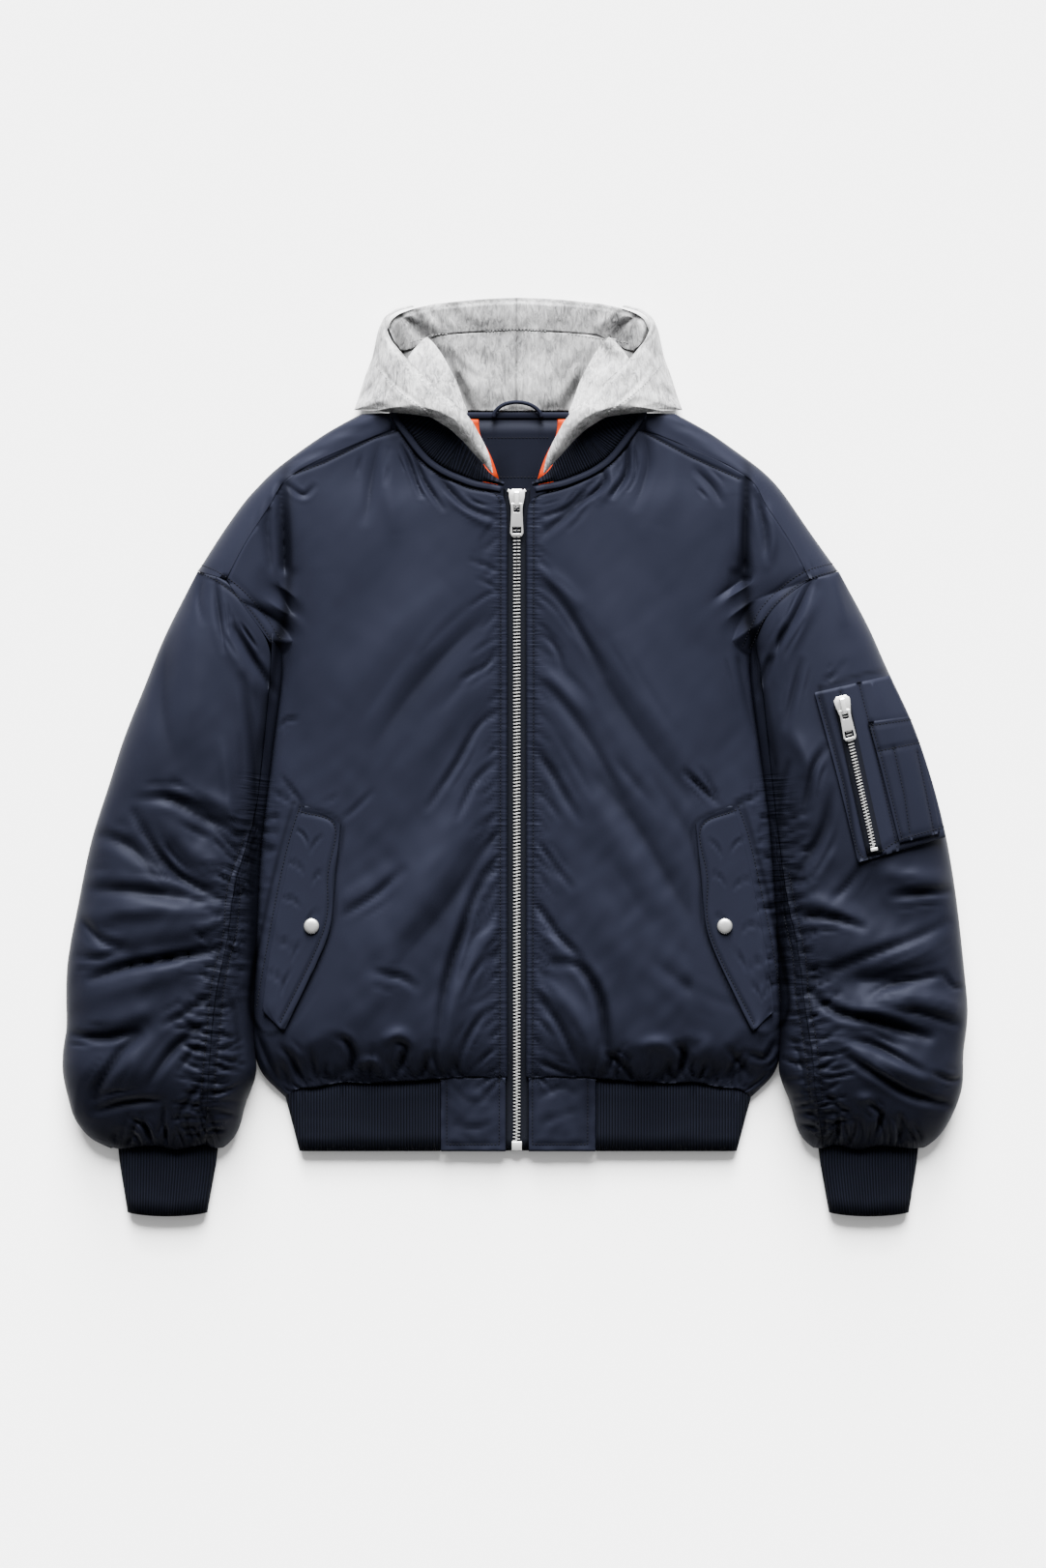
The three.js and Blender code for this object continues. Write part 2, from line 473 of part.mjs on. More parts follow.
// Front panels: columns run from the zip outwards, close together at the round side and at the fold.
const FRONT_COLUMNS = 9;
function frontRow(side, k) {
  const sewn = k > ARMPIT_ROW; // to the sleeve or the shoulder, and not to the back at the side
  const outerLine = (y) => {
    if (k <= ARMPIT_ROW) return sideEdge[side](y);
    return k < TIP_ROW ? armhole[side](y) : shoulderSeam(y);
  };
  const innerLine = (y) => frontEdge(y) + signOf(side) * ZIP_X * (1 - smooth((y - 229) / 14));
  const y0 = rowY(k, edgeOn(k, outerLine));
  const outer = sewn ? inset(outerLine, y0, -1) : outerLine(y0) - GAP / 2;
  const yIn = rowY(k, 10);
  const inner = inset(innerLine, yIn, 1);
  let xs;
  if (!sewn) {
    xs = arc(4).map((a) => outer - BODY_ROUND * (1 - Math.cos(a)));
    xs.push(outer - BODY_ROUND - 9);
  } else {
    const fold = Math.min(sideEdge[side](y0), outer - 0.22 * (outer - inner));
    xs = [0, 0.45, 0.75, 1].map((t) => mix(outer, fold, t));
    xs.push(mix(fold, inner, 0.06), mix(fold, inner, 0.13));
  }
  const from = xs[xs.length - 1];
  for (const i of range(FRONT_COLUMNS)) xs.push(mix(from, inner, (i + 1) / FRONT_COLUMNS));
  const last = xs.length - 1;
  return xs
    .map((x, j) => {
      const y = rowY(k, x);
      const seamZ = !sewn && j === 0;
      const onRim = j === 0 || j === last || k === 0 || k === ROW_HEIGHTS.length - 1;
      const turn = seamZ ? (rowY(k, xs[1]) - y) / (x - xs[1]) : 0;
      const lean = seamZ ? [-1, turn, 0] : onRim ? DOWN : null;
      const z = seamZ ? sideHeight(y) + GAP / 2 : topHeight(side, x, y);
      return at(side, x, y, z, lean);
    })
    .reverse();
}
for (const side of SIDES) {
  const rows = range(ROW_HEIGHTS.length).map((k) => frontRow(side, k));
  node(`front_${side}`, wallOf(new Sheet().grid(rows, side === "left"), SHELL), NAVY);
}

// The back: flat on the floor, curling up to the side seams, and over the shoulders to the front.
const YOKE_TOP = ROW_HEIGHTS.length;
const UNDER_TIP = TIP_ROW - 0.5; // the flat row just below the tips of the shoulders
const backHeights = [...range(TIP_ROW), UNDER_TIP, ...range(YOKE_TOP + 1).slice(TIP_ROW)];
function backRowY(k, x) {
  if (k === YOKE_TOP) return TOP_Y;
  return k === UNDER_TIP ? TIP_Y : rowY(k, x);
}
const INWARD = [-1, 0, 0];
const CURL_LEANS = [[-1, -TIP_SLOPE, 0], [-Math.SQRT1_2, -TIP_SLOPE * Math.SQRT1_2, Math.SQRT1_2], UP];
function backEdge(side, k) {
  if (k <= ARMPIT_ROW) {
    const x = edgeOn(k, sideEdge[side]) - GAP / 2;
    const y = backRowY(k, x);
    const top = sideHeight(y) - GAP / 2;
    return arc(2).map((a) =>
      at(side, x - UNDER_R * (1 - Math.cos(a)), y, top * (1 - Math.sin(a)), a === 0 ? INWARD : null));
  }
  if (k < TIP_ROW) {
    const y = backRowY(k, 0);
    const x = inset(armhole[side], y, -1);
    return [0, 6, UNDER_R].map((step) => at(side, x - step, y, 0, step === 0 ? UP : null));
  }
  const height = k === YOKE_TOP ? TOP_Y : ROW_HEIGHTS[k];
  const x = k === TIP_ROW ? 299 : outline[side](height);
  const side0 = sleeveSide(height);
  return arc(2).map((a, i) => {
    const curled = x - UNDER_R * (1 - Math.cos(a));
    const y = backRowY(k, curled) + (k === TIP_ROW ? GAP : 0);
    return at(side, curled, y, side0 * (1 - Math.sin(a)), k === TIP_ROW ? CURL_LEANS[i] : null);
  });
}
const YOKE_COLUMNS = 6;
function yokeRow(side, k) {
  const y0 = k === YOKE_TOP ? TOP_Y : ROW_HEIGHTS[k];
  const edge = backEdge(side, k)[0];
  const out = Math.abs(edge.x);
  const inner = inset(shoulderSeam, y0, 1);
  const reach = Math.min(sleeveRound(y0), 0.7 * (out - inner));
  const xs = arc(3).map((a) => out - reach * (1 - Math.cos(a)));
  const inside = YOKE_COLUMNS - 3;
  for (const i of range(inside)) xs.push(mix(out - reach, inner, (i + 1) / inside));
  return xs.map((x, j) => {
    if (j === 0) return edge;
    const y = backRowY(k, x) + (k === TIP_ROW ? GAP : 0);
    const onRim = j === xs.length - 1 || k === TIP_ROW || k === YOKE_TOP;
    return at(side, x, y, topHeight(side, x, y), onRim ? DOWN : null);
  });
}
const BACK_COLUMNS = [110, 0, -110];
{
  const sheet = new Sheet();
  sheet.grid(
    backHeights.map((k) => {
      const right = backEdge("right", k);
      const left = backEdge("left", k);
      const middle = BACK_COLUMNS.map((x) => ({ x, y: backRowY(k, Math.abs(x)), z: 0 }));
      return [...right, ...middle, ...left.reverse()];
    }),
  );
  const yokeRows = backHeights.filter((k) => k >= TIP_ROW);
  sheet.grid(yokeRows.map((k) => yokeRow("right", k).reverse()));
  sheet.grid(yokeRows.map((k) => yokeRow("left", k)));
  node("back", wallOf(sheet, SHELL), NAVY);
}

// Sleeves: the upper piece goes from the gathered seam over the outside to the seam underneath.
const CLEAR = 1.2; // between the sleeve and the body beside it
const SLEEVE_LOW = [-364, -356, -343, -326, -308, -292, -274, -256];
const sleeveRows = [
  ...SLEEVE_LOW.map((y) => ({ y })),
  ...range(TIP_ROW + 1).slice(LOW_ROWS.length).map((k) => ({ y: ROW_HEIGHTS[k], k })),
];
const insideOf = (side, y) => (y < -294 ? sleeveInner(y) : sideEdge[side](y) + CLEAR);
const UPPER_COLUMNS = 6;
const CUFF_Y = -364;
const cuffWave = (x) => 2.6 * Math.sin(x / 7.5) + 1.4 * Math.sin(x / 3.1 + 1);
function sleeveY(row, x) {
  if (row.k === TIP_ROW) return rowY(TIP_ROW, x) - GAP / 2;
  return row.y + (row.y === CUFF_Y ? cuffWave(x) : 0);
}
function upperRow(side, row) {
  const sewn = row.k > ARMPIT_ROW;
  const inner = sewn ? inset(armhole[side], row.y, 1) : sleeveSeam[side](row.y) + GAP / 2;
  const out = row.k === TIP_ROW ? 299 : outline[side](row.y);
  const reach = Math.min(sleeveRound(row.y), 0.7 * (out - inner));
  const xs = range(UPPER_COLUMNS).map((i) => mix(inner, out - reach, i / UPPER_COLUMNS));
  xs.push(...arc(3).reverse().map((a) => out - reach * (1 - Math.cos(a))));
  const rim = row.y === CUFF_Y || row.k === TIP_ROW;
  const over = xs.map((x, j) => {
    const y = sleeveY(row, x);
    const lean = rim && j === xs.length - 1 ? CURL_LEANS[0] : DOWN;
    return at(side, x, y, topHeight(side, x, Math.min(y, row.y)), j === 0 || rim ? lean : null);
  });
  const sideZ = over[over.length - 1].z;
  const end = sewn ? inset(armhole[side], row.y, 1) : backSeam(row.y) + GAP / 2;
  const curl = Math.min(UNDER_R, 0.4 * (out - end));
  const under = [
    at(side, out - curl * (1 - Math.SQRT1_2), sleeveY(row, out - 4), sideZ * (1 - Math.SQRT1_2),
      rim ? CURL_LEANS[1] : null),
    at(side, out - curl, sleeveY(row, out - curl), 0, rim ? UP : null),
    at(side, mix(end, out - curl, 0.4), sleeveY(row, mix(end, out - curl, 0.4)), 0, rim ? UP : null),
    at(side, end, sleeveY(row, end), 0, UP),
  ];
  return [...over, ...under];
}
function lowerRow(side, row) {
  const inner = insideOf(side, row.y);
  const start = backSeam(row.y) - GAP / 2;
  const seam = sleeveSeam[side](row.y) - GAP / 2;
  const rim = row.y === CUFF_Y || row.k === ARMPIT_ROW;
  const curl = Math.min(UNDER_R, 0.5 * (start - inner));
  const y = sleeveY(row, inner);
  const sideZ = innerHeight(row.y);
  const under = [
    at(side, start, y, 0, UP),
    at(side, inner + curl, y, 0, rim ? UP : null),
    at(side, inner + curl * (1 - Math.SQRT1_2), y, sideZ * (1 - Math.SQRT1_2), null),
    at(side, inner, y, sideZ, rim ? [1, 0, 0] : null),
  ];
  const over = [0.12, 0.4, 0.7, 1].map((share) => {
    const x = mix(inner, seam, share);
    const z = topHeight(side, x, row.y);
    return at(side, x, sleeveY(row, x), z, share === 1 || rim ? DOWN : null);
  });
  return [...under, ...over];
}
for (const side of SIDES) {
  const flip = side === "left";
  const upper = new Sheet().grid(sleeveRows.map((row) => upperRow(side, row)), flip);
  node(`sleeve_upper_${side}`, wallOf(upper, SHELL), NAVY);
  const lower = sleeveRows.filter((row) => !row.k || row.k <= ARMPIT_ROW);
  const sheet = new Sheet().grid(lower.map((row) => lowerRow(side, row)), flip);
  node(`sleeve_lower_${side}`, wallOf(sheet, SHELL), NAVY);
}

// Height of a made piece's faces over the floor at a place, or the highest within a small reach.
function heightOn(geometry) {
  const spot = geometry.attributes.position;
  const index = geometry.index.array;
  const at = (i) => [spot.getX(i), spot.getY(i), spot.getZ(i)];
  const one = (x, y) => {
    let top = -Infinity;
    for (let i = 0; i < index.length; i += 3) {
      const [a, b, c] = [at(index[i]), at(index[i + 1]), at(index[i + 2])];
      const area = (b[0] - a[0]) * (c[1] - a[1]) - (b[1] - a[1]) * (c[0] - a[0]);
      if (area < 1e-6) continue;
      const u = ((x - a[0]) * (c[1] - a[1]) - (y - a[1]) * (c[0] - a[0])) / area;
      const v = ((b[0] - a[0]) * (y - a[1]) - (b[1] - a[1]) * (x - a[0])) / area;
      if (u < 0 || v < 0 || u + v > 1) continue;
      top = Math.max(top, a[2] + u * (b[2] - a[2]) + v * (c[2] - a[2]));
    }
    return top;
  };
  const around = [[0, 0], [1, 0], [-1, 0], [0, 1], [0, -1]];
  return (x, y, reach = 0) => Math.max(...around.map(([i, j]) => one(x + i * reach, y + j * reach)));
}
const meshOf = (name) => jacket.getObjectByName(name).geometry;

// Hem rib: ribbed in front, plain where it lies on the floor behind.
const HEM_TOP_Z = 13.5;
const HEM_SIDE_Z = 7;
const HEM_ROUND = 10;
const RIB_RISE = 0.5;
const HEM_SIDE_X = 204;
// The hem seam as the front's own points have it.
const hemPoints = Object.fromEntries(SIDES.map((side) => [side,
  frontRow(side, 0).map((p) => ({ x: Math.abs(p.x), y: p.y })).sort((p, q) => p.x - q.x)]));
function hemTopY(side, x) {
  const points = hemPoints[side];
  const i = clamp(points.findIndex((p) => p.x > x), 1, points.length - 1);
  const [a, b] = x > points[i].x ? points.slice(-2) : points.slice(i - 1, i + 1);
  return mix(a.y, b.y, clamp((x - a.x) / (b.x - a.x))) - GAP;
}
// A ribbed wall: two columns a rib outside, and one inside point for every step of them.
function ribbedWall(rows, step, flip) {
  const positions = [];
  const index = [];
  const put = (p) => positions.push([p.x, p.y, p.z]) - 1;
  const outer = rows.map((row) => row.map(put));
  const inner = rows.map((row) => row.filter((_, j) => j % step === 0).map((p) => put(p.within)));
  const face = (a, b, c) => index.push(...(flip ? [a, c, b] : [a, b, c]));
  const quads = (ids, turned) => {
    for (let i = 0; i + 1 < ids.length; i += 1)
      for (let j = 0; j + 1 < ids[i].length; j += 1) {
        const [a, b, c, d] = [ids[i][j], ids[i][j + 1], ids[i + 1][j + 1], ids[i + 1][j]];
        if (turned) {
          face(a, c, b);
          face(a, d, c);
        } else {
          face(a, b, c);
          face(a, c, d);
        }
      }
  };
  quads(outer, false);
  quads(inner, true);
  const lastRow = rows.length - 1;
  for (const [i, turned] of [[0, false], [lastRow, true]]) {
    const rim = (a, b, c) => (turned ? face(a, c, b) : face(a, b, c));
    for (let j = 0; j + 1 < outer[i].length; j += 1) {
      const k = Math.floor(j / step);
      const half = j % step < step / 2 ? k : k + 1;
      rim(outer[i][j], inner[i][half], outer[i][j + 1]);
      if (j % step === Math.ceil(step / 2) - 1 || step === 1)
        rim(inner[i][k], inner[i][k + 1], outer[i][j + 1]);
    }
  }
  for (let i = 0; i < lastRow; i += 1) {
    const m = outer[i].length - 1;
    const n = inner[i].length - 1;
    face(outer[i][0], outer[i + 1][0], inner[i + 1][0]);
    face(outer[i][0], inner[i + 1][0], inner[i][0]);
    face(outer[i][m], inner[i][n], inner[i + 1][n]);
    face(outer[i][m], inner[i + 1][n], outer[i + 1][m]);
  }
  return closed(positions, index);
}
const RIB_STEP = 8; // outer columns to one inner column
const ribWave = (j) => (j % 2 === 1 ? RIB_RISE : -RIB_RISE) / 2;
const HEM_RIBS = 52;
for (const side of SIDES) {
  const row = (yOf, edge, lift) =>
    range(HEM_RIBS * 2 + 1).map((j) => {
      const share = j / (HEM_RIBS * 2);
      const x = mix(TAB_X + 2 * GAP, edge, share);
      const z = HEM_SIDE_Z + GAP / 2 + (HEM_TOP_Z - HEM_SIDE_Z + lift) * roundEdge(edge - x, HEM_ROUND);
      const rib = share > 0.93 ? 0 : ribWave(j);
      const sideways = share > 0.97 ? KNIT : 0;
      const within = { x: signOf(side) * (x - sideways), y: yOf(x), z: z - KNIT + sideways };
      return { ...at(side, x, yOf(x), z + rib), within };
    });
  const top = (x) => hemTopY(side, x);
  const rows = [row(() => HEM_Y, HEM_SIDE_X, -1.5), row(top, hemPoints[side].at(-1).x, 0)];
  node(`hem_rib_${side}`, ribbedWall(rows, RIB_STEP, side === "left"), RIB_NAVY);

  const tabRow = (y, z, dome) =>
    range(5).map((i) => {
      const x = mix(ZIP_HALF + 2.2 - signOf(side) * 0.9, TAB_X, i / 4);
      const bulge = dome * Math.sin((Math.PI * (i + 0.4)) / 4.8);
      return at(side, x, y === 0 ? top(x) : y, z + bulge, DOWN);
    });
  const tabRows = [tabRow(HEM_Y, 15, 0), tabRow(-352, 15.4, 1.4), tabRow(-318, 16, 1.4), tabRow(0, 17.4, 0)];
  const tab = new Sheet().grid(tabRows, side === "left");
  node(`hem_tab_${side}`, wallOf(tab, SHELL), NAVY);
}
const backLow = [
  ...backEdge("right", 0),
  ...BACK_COLUMNS.map((x) => ({ x, y: rowY(0, Math.abs(x)), z: 0 })),
  ...backEdge("left", 0).reverse(),
];
const hemBackRow = (y, half) =>
  backLow.map((p) => ({
    x: half ? clamp((p.x * half) / hemPoints.right.at(-1).x, -half, half) : p.x,
    y: y ?? p.y - GAP,
    z: p.z && (p.z * (HEM_SIDE_Z - GAP / 2)) / (sideHeight(-318) - GAP / 2),
    lean: p.lean,
  }));
const hemBackRows = [hemBackRow(HEM_Y, HEM_SIDE_X), hemBackRow(-344, 210), hemBackRow()];
node("hem_rib_back", wallOf(new Sheet().grid(hemBackRows), KNIT), RIB_NAVY);

// Cuffs: a tube ribbed on its upper side, plain where it lies on the floor.
const CUFF_RIBS = 33;
const CUFF_TOP_Z = 15;
const CUFF_SIDE_Z = 7;
for (const side of SIDES) {
  const row = (inner, outer, yOf) => {
    const columns = CUFF_RIBS * 2;
    const over = range(columns + 1).map((j) => {
      const x = mix(inner, outer, j / columns);
      const fromEdge = Math.min(x - inner, outer - x);
      const rib = fromEdge < 4 ? 0 : ribWave(j);
      const z = CUFF_SIDE_Z + (CUFF_TOP_Z - CUFF_SIDE_Z) * roundEdge(fromEdge, 16) + rib;
      return at(side, x, yOf(x), z, fromEdge < 3 ? null : [0, 0, -1 - rib / KNIT]);
    });
    const under = [outer - 5, inner + 5].map((x) => at(side, x, yOf(x), 0));
    return [...over, ...under, over[0]];
  };
  const low = (x) => -428.6 + 3.4 * (Math.abs(x - 327) / 38) ** 2;
  const high = (x) => CUFF_Y - 1.8 + cuffWave(x) - GAP;
  const rows = [row(290, 364.5, low), row(279.5, 374, high)];
  node(`cuff_${side}`, wallOf(new Sheet().grid(rows, side === "left"), KNIT), RIB_NAVY);
}

// Neckline: a padded binding follows the front's upper edge, and the rib collar stands inside it.
const BINDING = 8.4;
const NECK_CLEAR = 0.9; // between the front's edge, which is cut in straight lengths, and the binding
const neckRows = frontEdgeRows.filter((row) => row.x >= 15);
const neckline = line(neckRows, "x", "y");
const NECK_STEPS = 160;
const neckPath = range(NECK_STEPS + 1).map((i) => {
  const t = i / NECK_STEPS;
  const x = mix(17, 117.6, 1 - (1 - t) ** 1.6);
  return new THREE.Vector2(x, neckline(x));
});
const neckLength = neckPath.slice(1).reduce((sum, p, i) => sum + p.distanceTo(neckPath[i]), 0);
// The place on the neckline at a share of its length, moved into the neck by some distance.
function neckPoint(share, into) {
  let left = share * neckLength;
  let i = 0;
  while (i < NECK_STEPS - 1 && left > neckPath[i].distanceTo(neckPath[i + 1])) {
    left -= neckPath[i].distanceTo(neckPath[i + 1]);
    i += 1;
  }
  const way = neckPath[i + 1].clone().sub(neckPath[i]).normalize();
  const p = neckPath[i].clone().addScaledVector(way, left);
  return { x: p.x - way.y * into, y: p.y + way.x * into };
}
const NECK_Z = 28.5;
const COLLAR_RIBS = 36;
const collarReach = (share) => 3 + 40 * smooth(share * 2.2);
for (const side of SIDES) {
  const bindingRow = (into, z) =>
    range(15).map((i) => {
      const p = neckPoint(i / 14, into);
      return at(side, p.x, p.y, z, DOWN);
    });
  const rows = [bindingRow(NECK_CLEAR, NECK_Z), bindingRow(2.4, NECK_Z + 2.2), bindingRow(6, NECK_Z + 2.2),
    bindingRow(BINDING, NECK_Z)];
  node(`neck_binding_${side}`, wallOf(new Sheet().grid(rows, side === "left"), SHELL), NAVY);

  const collarRow = (share, z) =>
    range(COLLAR_RIBS * 2 + 1).map((j) => {
      const along = j / (COLLAR_RIBS * 2);
      const p = neckPoint(along, BINDING + GAP + share * collarReach(along));
      const within = { x: signOf(side) * p.x, y: p.y, z: z - KNIT };
      return { ...at(side, p.x, p.y, z + ribWave(j)), within };
    });
  const collar = [collarRow(0, NECK_Z), collarRow(0.4, NECK_Z + 2), collarRow(1, NECK_Z - 1)];
  node(`collar_${side}`, ribbedWall(collar, RIB_STEP, side === "left"), RIB_NAVY);
}

// A plain piece from rows of x, y and z, with its wall straight down.
const flatWall = (rows, thickness, flip) =>
  wallOf(new Sheet().grid(rows.map((row) => row.map((p) => ({ ...p, lean: DOWN }))), flip), thickness);
const across = (half, y, z, n) => range(n + 1).map((i) => ({ x: mix(-half, half, i / n), y, z }));

// Inside of the neck, on the back panel.
const FACING_Z = SHELL + 0.5 + SATIN;
const facingRows = [[52, 222], [72, 260], [72, 314]].map(([half, y]) => across(half, y, FACING_Z, 2));
node("back_facing", flatWall(facingRows, SATIN), NAVY);
const LINING = 1.5;
const liningRows = [
  { y: 250, x: 15.5 }, { y: 271, x: 21.5 }, { y: 284, x: 27 },
  { y: 294, x: 33 }, { y: 300, x: 36 }, { y: 314.5, x: 37 },
];
for (const side of SIDES) {
  const rows = liningRows.map(({ x, y }) =>
    [0, 6, 16].map((out, i) => at(side, x + out, y, FACING_Z + 0.5 + LINING + i * i * 1.4)));
  node(`lining_${side}`, flatWall(rows, LINING, side === "left"), ORANGE);
}
const STRIP_Z = 7.4;
const stripRows = [[315.4, 0.8], [318.2, 0], [321.2, 0.8]].map(([y, low]) => across(58, y, STRIP_Z - low, 6));
node("back_neck_binding", flatWall(stripRows, 2.8), NAVY);
const LOOP_RADIUS = 2.1;
const loopSpots = [[-23, 316], [-22, 321], [-14, 328], [-1.4, 330.5], [11.5, 328], [20.5, 321], [22, 316]];
const extrudePath = new THREE.CatmullRomCurve3(loopSpots.map(([x, y]) => new THREE.Vector3(x, y, 10)));
const loopSection = new THREE.Shape(range(6).map((i) =>
  new THREE.Vector2(LOOP_RADIUS * Math.cos((i * Math.PI) / 3), LOOP_RADIUS * Math.sin((i * Math.PI) / 3))));
const loopOptions = { steps: 18, extrudePath, bevelEnabled: false };
node("hanger_loop", new THREE.ExtrudeGeometry(loopSection, loopOptions), NAVY);
node("collar_back", flatWall([across(96, TOP_Y + GAP, KNIT, 4), across(96, 362, KNIT, 4)], KNIT), RIB_NAVY);

// Hood.
const HOOD_COLUMNS = [0, 0.2, 0.45, 0.7, 0.88, 1];
for (const side of SIDES) {
  const rows = hoodSideRows.map((r) =>
    HOOD_COLUMNS.map((t) => at(side, mix(r.rimX, r.edgeX, t), mix(r.rimY, r.edgeY, t),
      mix(r.rimZ, r.edgeZ, t ** 1.6) + r.crown * Math.sin(Math.PI * t))));
  node(`hood_side_${side}`, flatWall(rows.reverse(), JERSEY, side === "left"), MARL);
  const flaps = hoodFlapRows.map((r) =>
    [0, 0.33, 0.66, 1].map((t) => at(side, mix(r.freeX, r.foldX, t), mix(r.freeY, r.foldY, t),
      mix(r.freeZ, r.foldZ, t) + 2 * Math.sin(Math.PI * t))));
  node(`hood_flap_${side}`, flatWall(flaps.reverse(), JERSEY, side === "left"), MARL);
}
const hoodBackRows = [
  { y: 364, x: 132 }, { y: 376, x: 129 }, { y: 390, x: 126 }, { y: 402, x: 121 }, { y: 412, x: 109 },
  { y: 420, x: 84 }, { y: 425, x: 48 },
];
node("hood_back", flatWall(hoodBackRows.map(({ x, y }) => across(x, y, JERSEY, 4)), JERSEY), MARL);
const INSIDE_Z = KNIT + JERSEY + 0.35;
const hoodInsideRows = [
  { y: 322.6, x: 62, rise: 0 }, { y: 340, x: 74, rise: 4 }, { y: 358, x: 90, rise: 8 },
  { y: 374, x: 100, rise: 9 }, { y: 0, x: 105, rise: 8 },
];
const signed = (rows, sign) => rows.map((r) => ({ ...r, sign }));
const mirrored = (rows) => [...signed(rows.slice(1).reverse(), -1), ...signed(rows, 1)];
const bandColumns = mirrored(hoodBandRows);
const bandSeamY = line(hoodBandRows, "seamX", "seamY");
node("hood_inside", flatWall(hoodInsideRows.map((r) =>
  [-1, -0.82, -0.6, -0.35, 0, 0.35, 0.6, 0.82, 1].map((t) => ({
    x: t * r.x,
    y: r.y || bandSeamY(Math.abs(t * r.x)) - GAP - 0.4,
    z: INSIDE_Z + r.rise * t ** 4 + (r.y ? 0 : 2),
  }))), JERSEY), MARL);
node("hood_band", flatWall([0, 0.4, 0.8, 1].map((t) =>
  bandColumns.map((c) => ({
    x: c.sign * mix(c.seamX, c.rimX, t),
    y: mix(c.seamY, c.rimY, t),
    z: t === 1 ? 6.6 + (c.rimZ - 13) * 0.6 : mix(c.seamZ, c.rimZ, t) + 1.5 * Math.sin(Math.PI * t),
  }))), JERSEY), MARL);

// Slant pocket flaps, laid on the front and closed with a snap each.
const FLAP_COLUMNS = 7;
const snapCap = [[0, 0], [7.3, 0], [7.3, 0.9], [6.4, 1.8], [4, 2.4], [0, 2.6]]
  .map(([r, z]) => new THREE.Vector2(r, z));
for (const side of SIDES) {
  const on = heightOn(meshOf(`front_${side}`));
  const rows = flapRows.map((r) =>
    range(FLAP_COLUMNS + 1).map((i) => {
      const x = mix(r.inner, r.outer, i / FLAP_COLUMNS);
      return at(side, x, r.y, on(signOf(side) * x, r.y, 4) + LIFT + SATIN);
    }));
  node(`pocket_flap_${side}`, flatWall(rows.reverse(), SATIN, side === "left"), NAVY);
  const onFlap = heightOn(meshOf(`pocket_flap_${side}`));
  const snap = node(`snap_${side}`, new THREE.LatheGeometry(snapCap, 20).rotateX(Math.PI / 2), SILVER);
  snap.position.set(signOf(side) * 191.5, -157.4, onFlap(signOf(side) * 191.5, -157.4, 7.3) + 0.4);
}

// Front zip: tapes under the front edges, the closed chain, stops, box and slider.
const tapeZ = (y) => zipHeight(y) - SHELL - 0.6;
const zipYs = [HEM_Y + 1, -345, -322, ...ROW_HEIGHTS.filter((y) => y < 250).map((_, k) => rowY(k, 10))];
const TEETH_TOP_Y = 236;
const TEETH_HIGH = 2.4;
const TEETH_HALF = 3.6;
const teethZ = (y) => tapeZ(y) + 0.35 + TEETH_HIGH;
for (const [name, from, to] of [["left", -12.5, -0.9], ["right", 0.9, 12.5]])
  node(`zip_tape_${name}`, flatWall([...zipYs, 249].map((y) =>
    [from, to].map((x) => ({ x: ZIP_X + x, y, z: tapeZ(y) }))), TAPE), TAPE_NAVY);
const teethYs = [-358, ...zipYs.slice(1).filter((y) => y < TEETH_TOP_Y), TEETH_TOP_Y];
node("zip_teeth", flatWall(teethYs.map((y) =>
  [-TEETH_HALF, TEETH_HALF].map((x) => ({ x: ZIP_X + x, y, z: teethZ(y) }))), TEETH_HIGH), SILVER);
function block(width, length, height) {
  const shape = new THREE.Shape([[-1, -1], [1, -1], [1, 1], [-1, 1]].map(([i, j]) =>
    new THREE.Vector2((i * width) / 2, (j * length) / 2)));
  return new THREE.ExtrudeGeometry(shape, { depth: height, bevelEnabled: false });
}
const box = node("zip_box", block(9.4, 8, 3.2), SILVER);
box.position.set(ZIP_X, -363, tapeZ(-363) + 0.35);
for (const [name, sign] of [["left", -1], ["right", 1]]) {
  const stop = node(`zip_stop_${name}`, block(4.4, 2.6, 1.8), SILVER);
  stop.position.set(ZIP_X + sign * 6.6, 246.4, tapeZ(246) + 0.35);
  stop.rotation.z = sign * 0.6;
}

// A slider with its bridge, and a pull tab that turns on its crossbar under the bridge.
// Local frame: the zip runs along Y, closed below, and the chain's upper face is z = 0.
const PLATE = 2.6;
const PIVOT = { y: -5.2, z: PLATE + 1.5 };
const TAB_THICK = 1.6;
const points2 = (list) => list.map(([x, y]) => new THREE.Vector2(x, y));
const slab = (shape, depth) => new THREE.ExtrudeGeometry(shape, { depth, bevelEnabled: false });
function sliderGeometry() {
  const right = [[5.4, -8.4], [7.4, 2], [7.6, 5.6], [4.6, 8.8]];
  const left = right.map(([x, y]) => [-x, y]).reverse();
  return slab(new THREE.Shape(points2([...right, ...left])), PLATE);
}
function bridgeGeometry() {
  const under = [[-8, 0], [-6.6, 0], [-6.6, 3], [-6, 3.6], [5, 3.6], [5.6, 3], [5.6, 0]];
  const over = [[7.2, 0], [7.2, 3.6], [5.6, 5.2], [-6.4, 5.2], [-8, 3.6]];
  const arch = new THREE.Shape(points2([...under, ...over]));
  const upright = new THREE.Matrix4().makeBasis(new THREE.Vector3(0, 1, 0), new THREE.Vector3(0, 0, 1),
    new THREE.Vector3(1, 0, 0));
  return slab(arch, 4.4).applyMatrix4(upright).translate(-2.2, 0, 0.3);
}
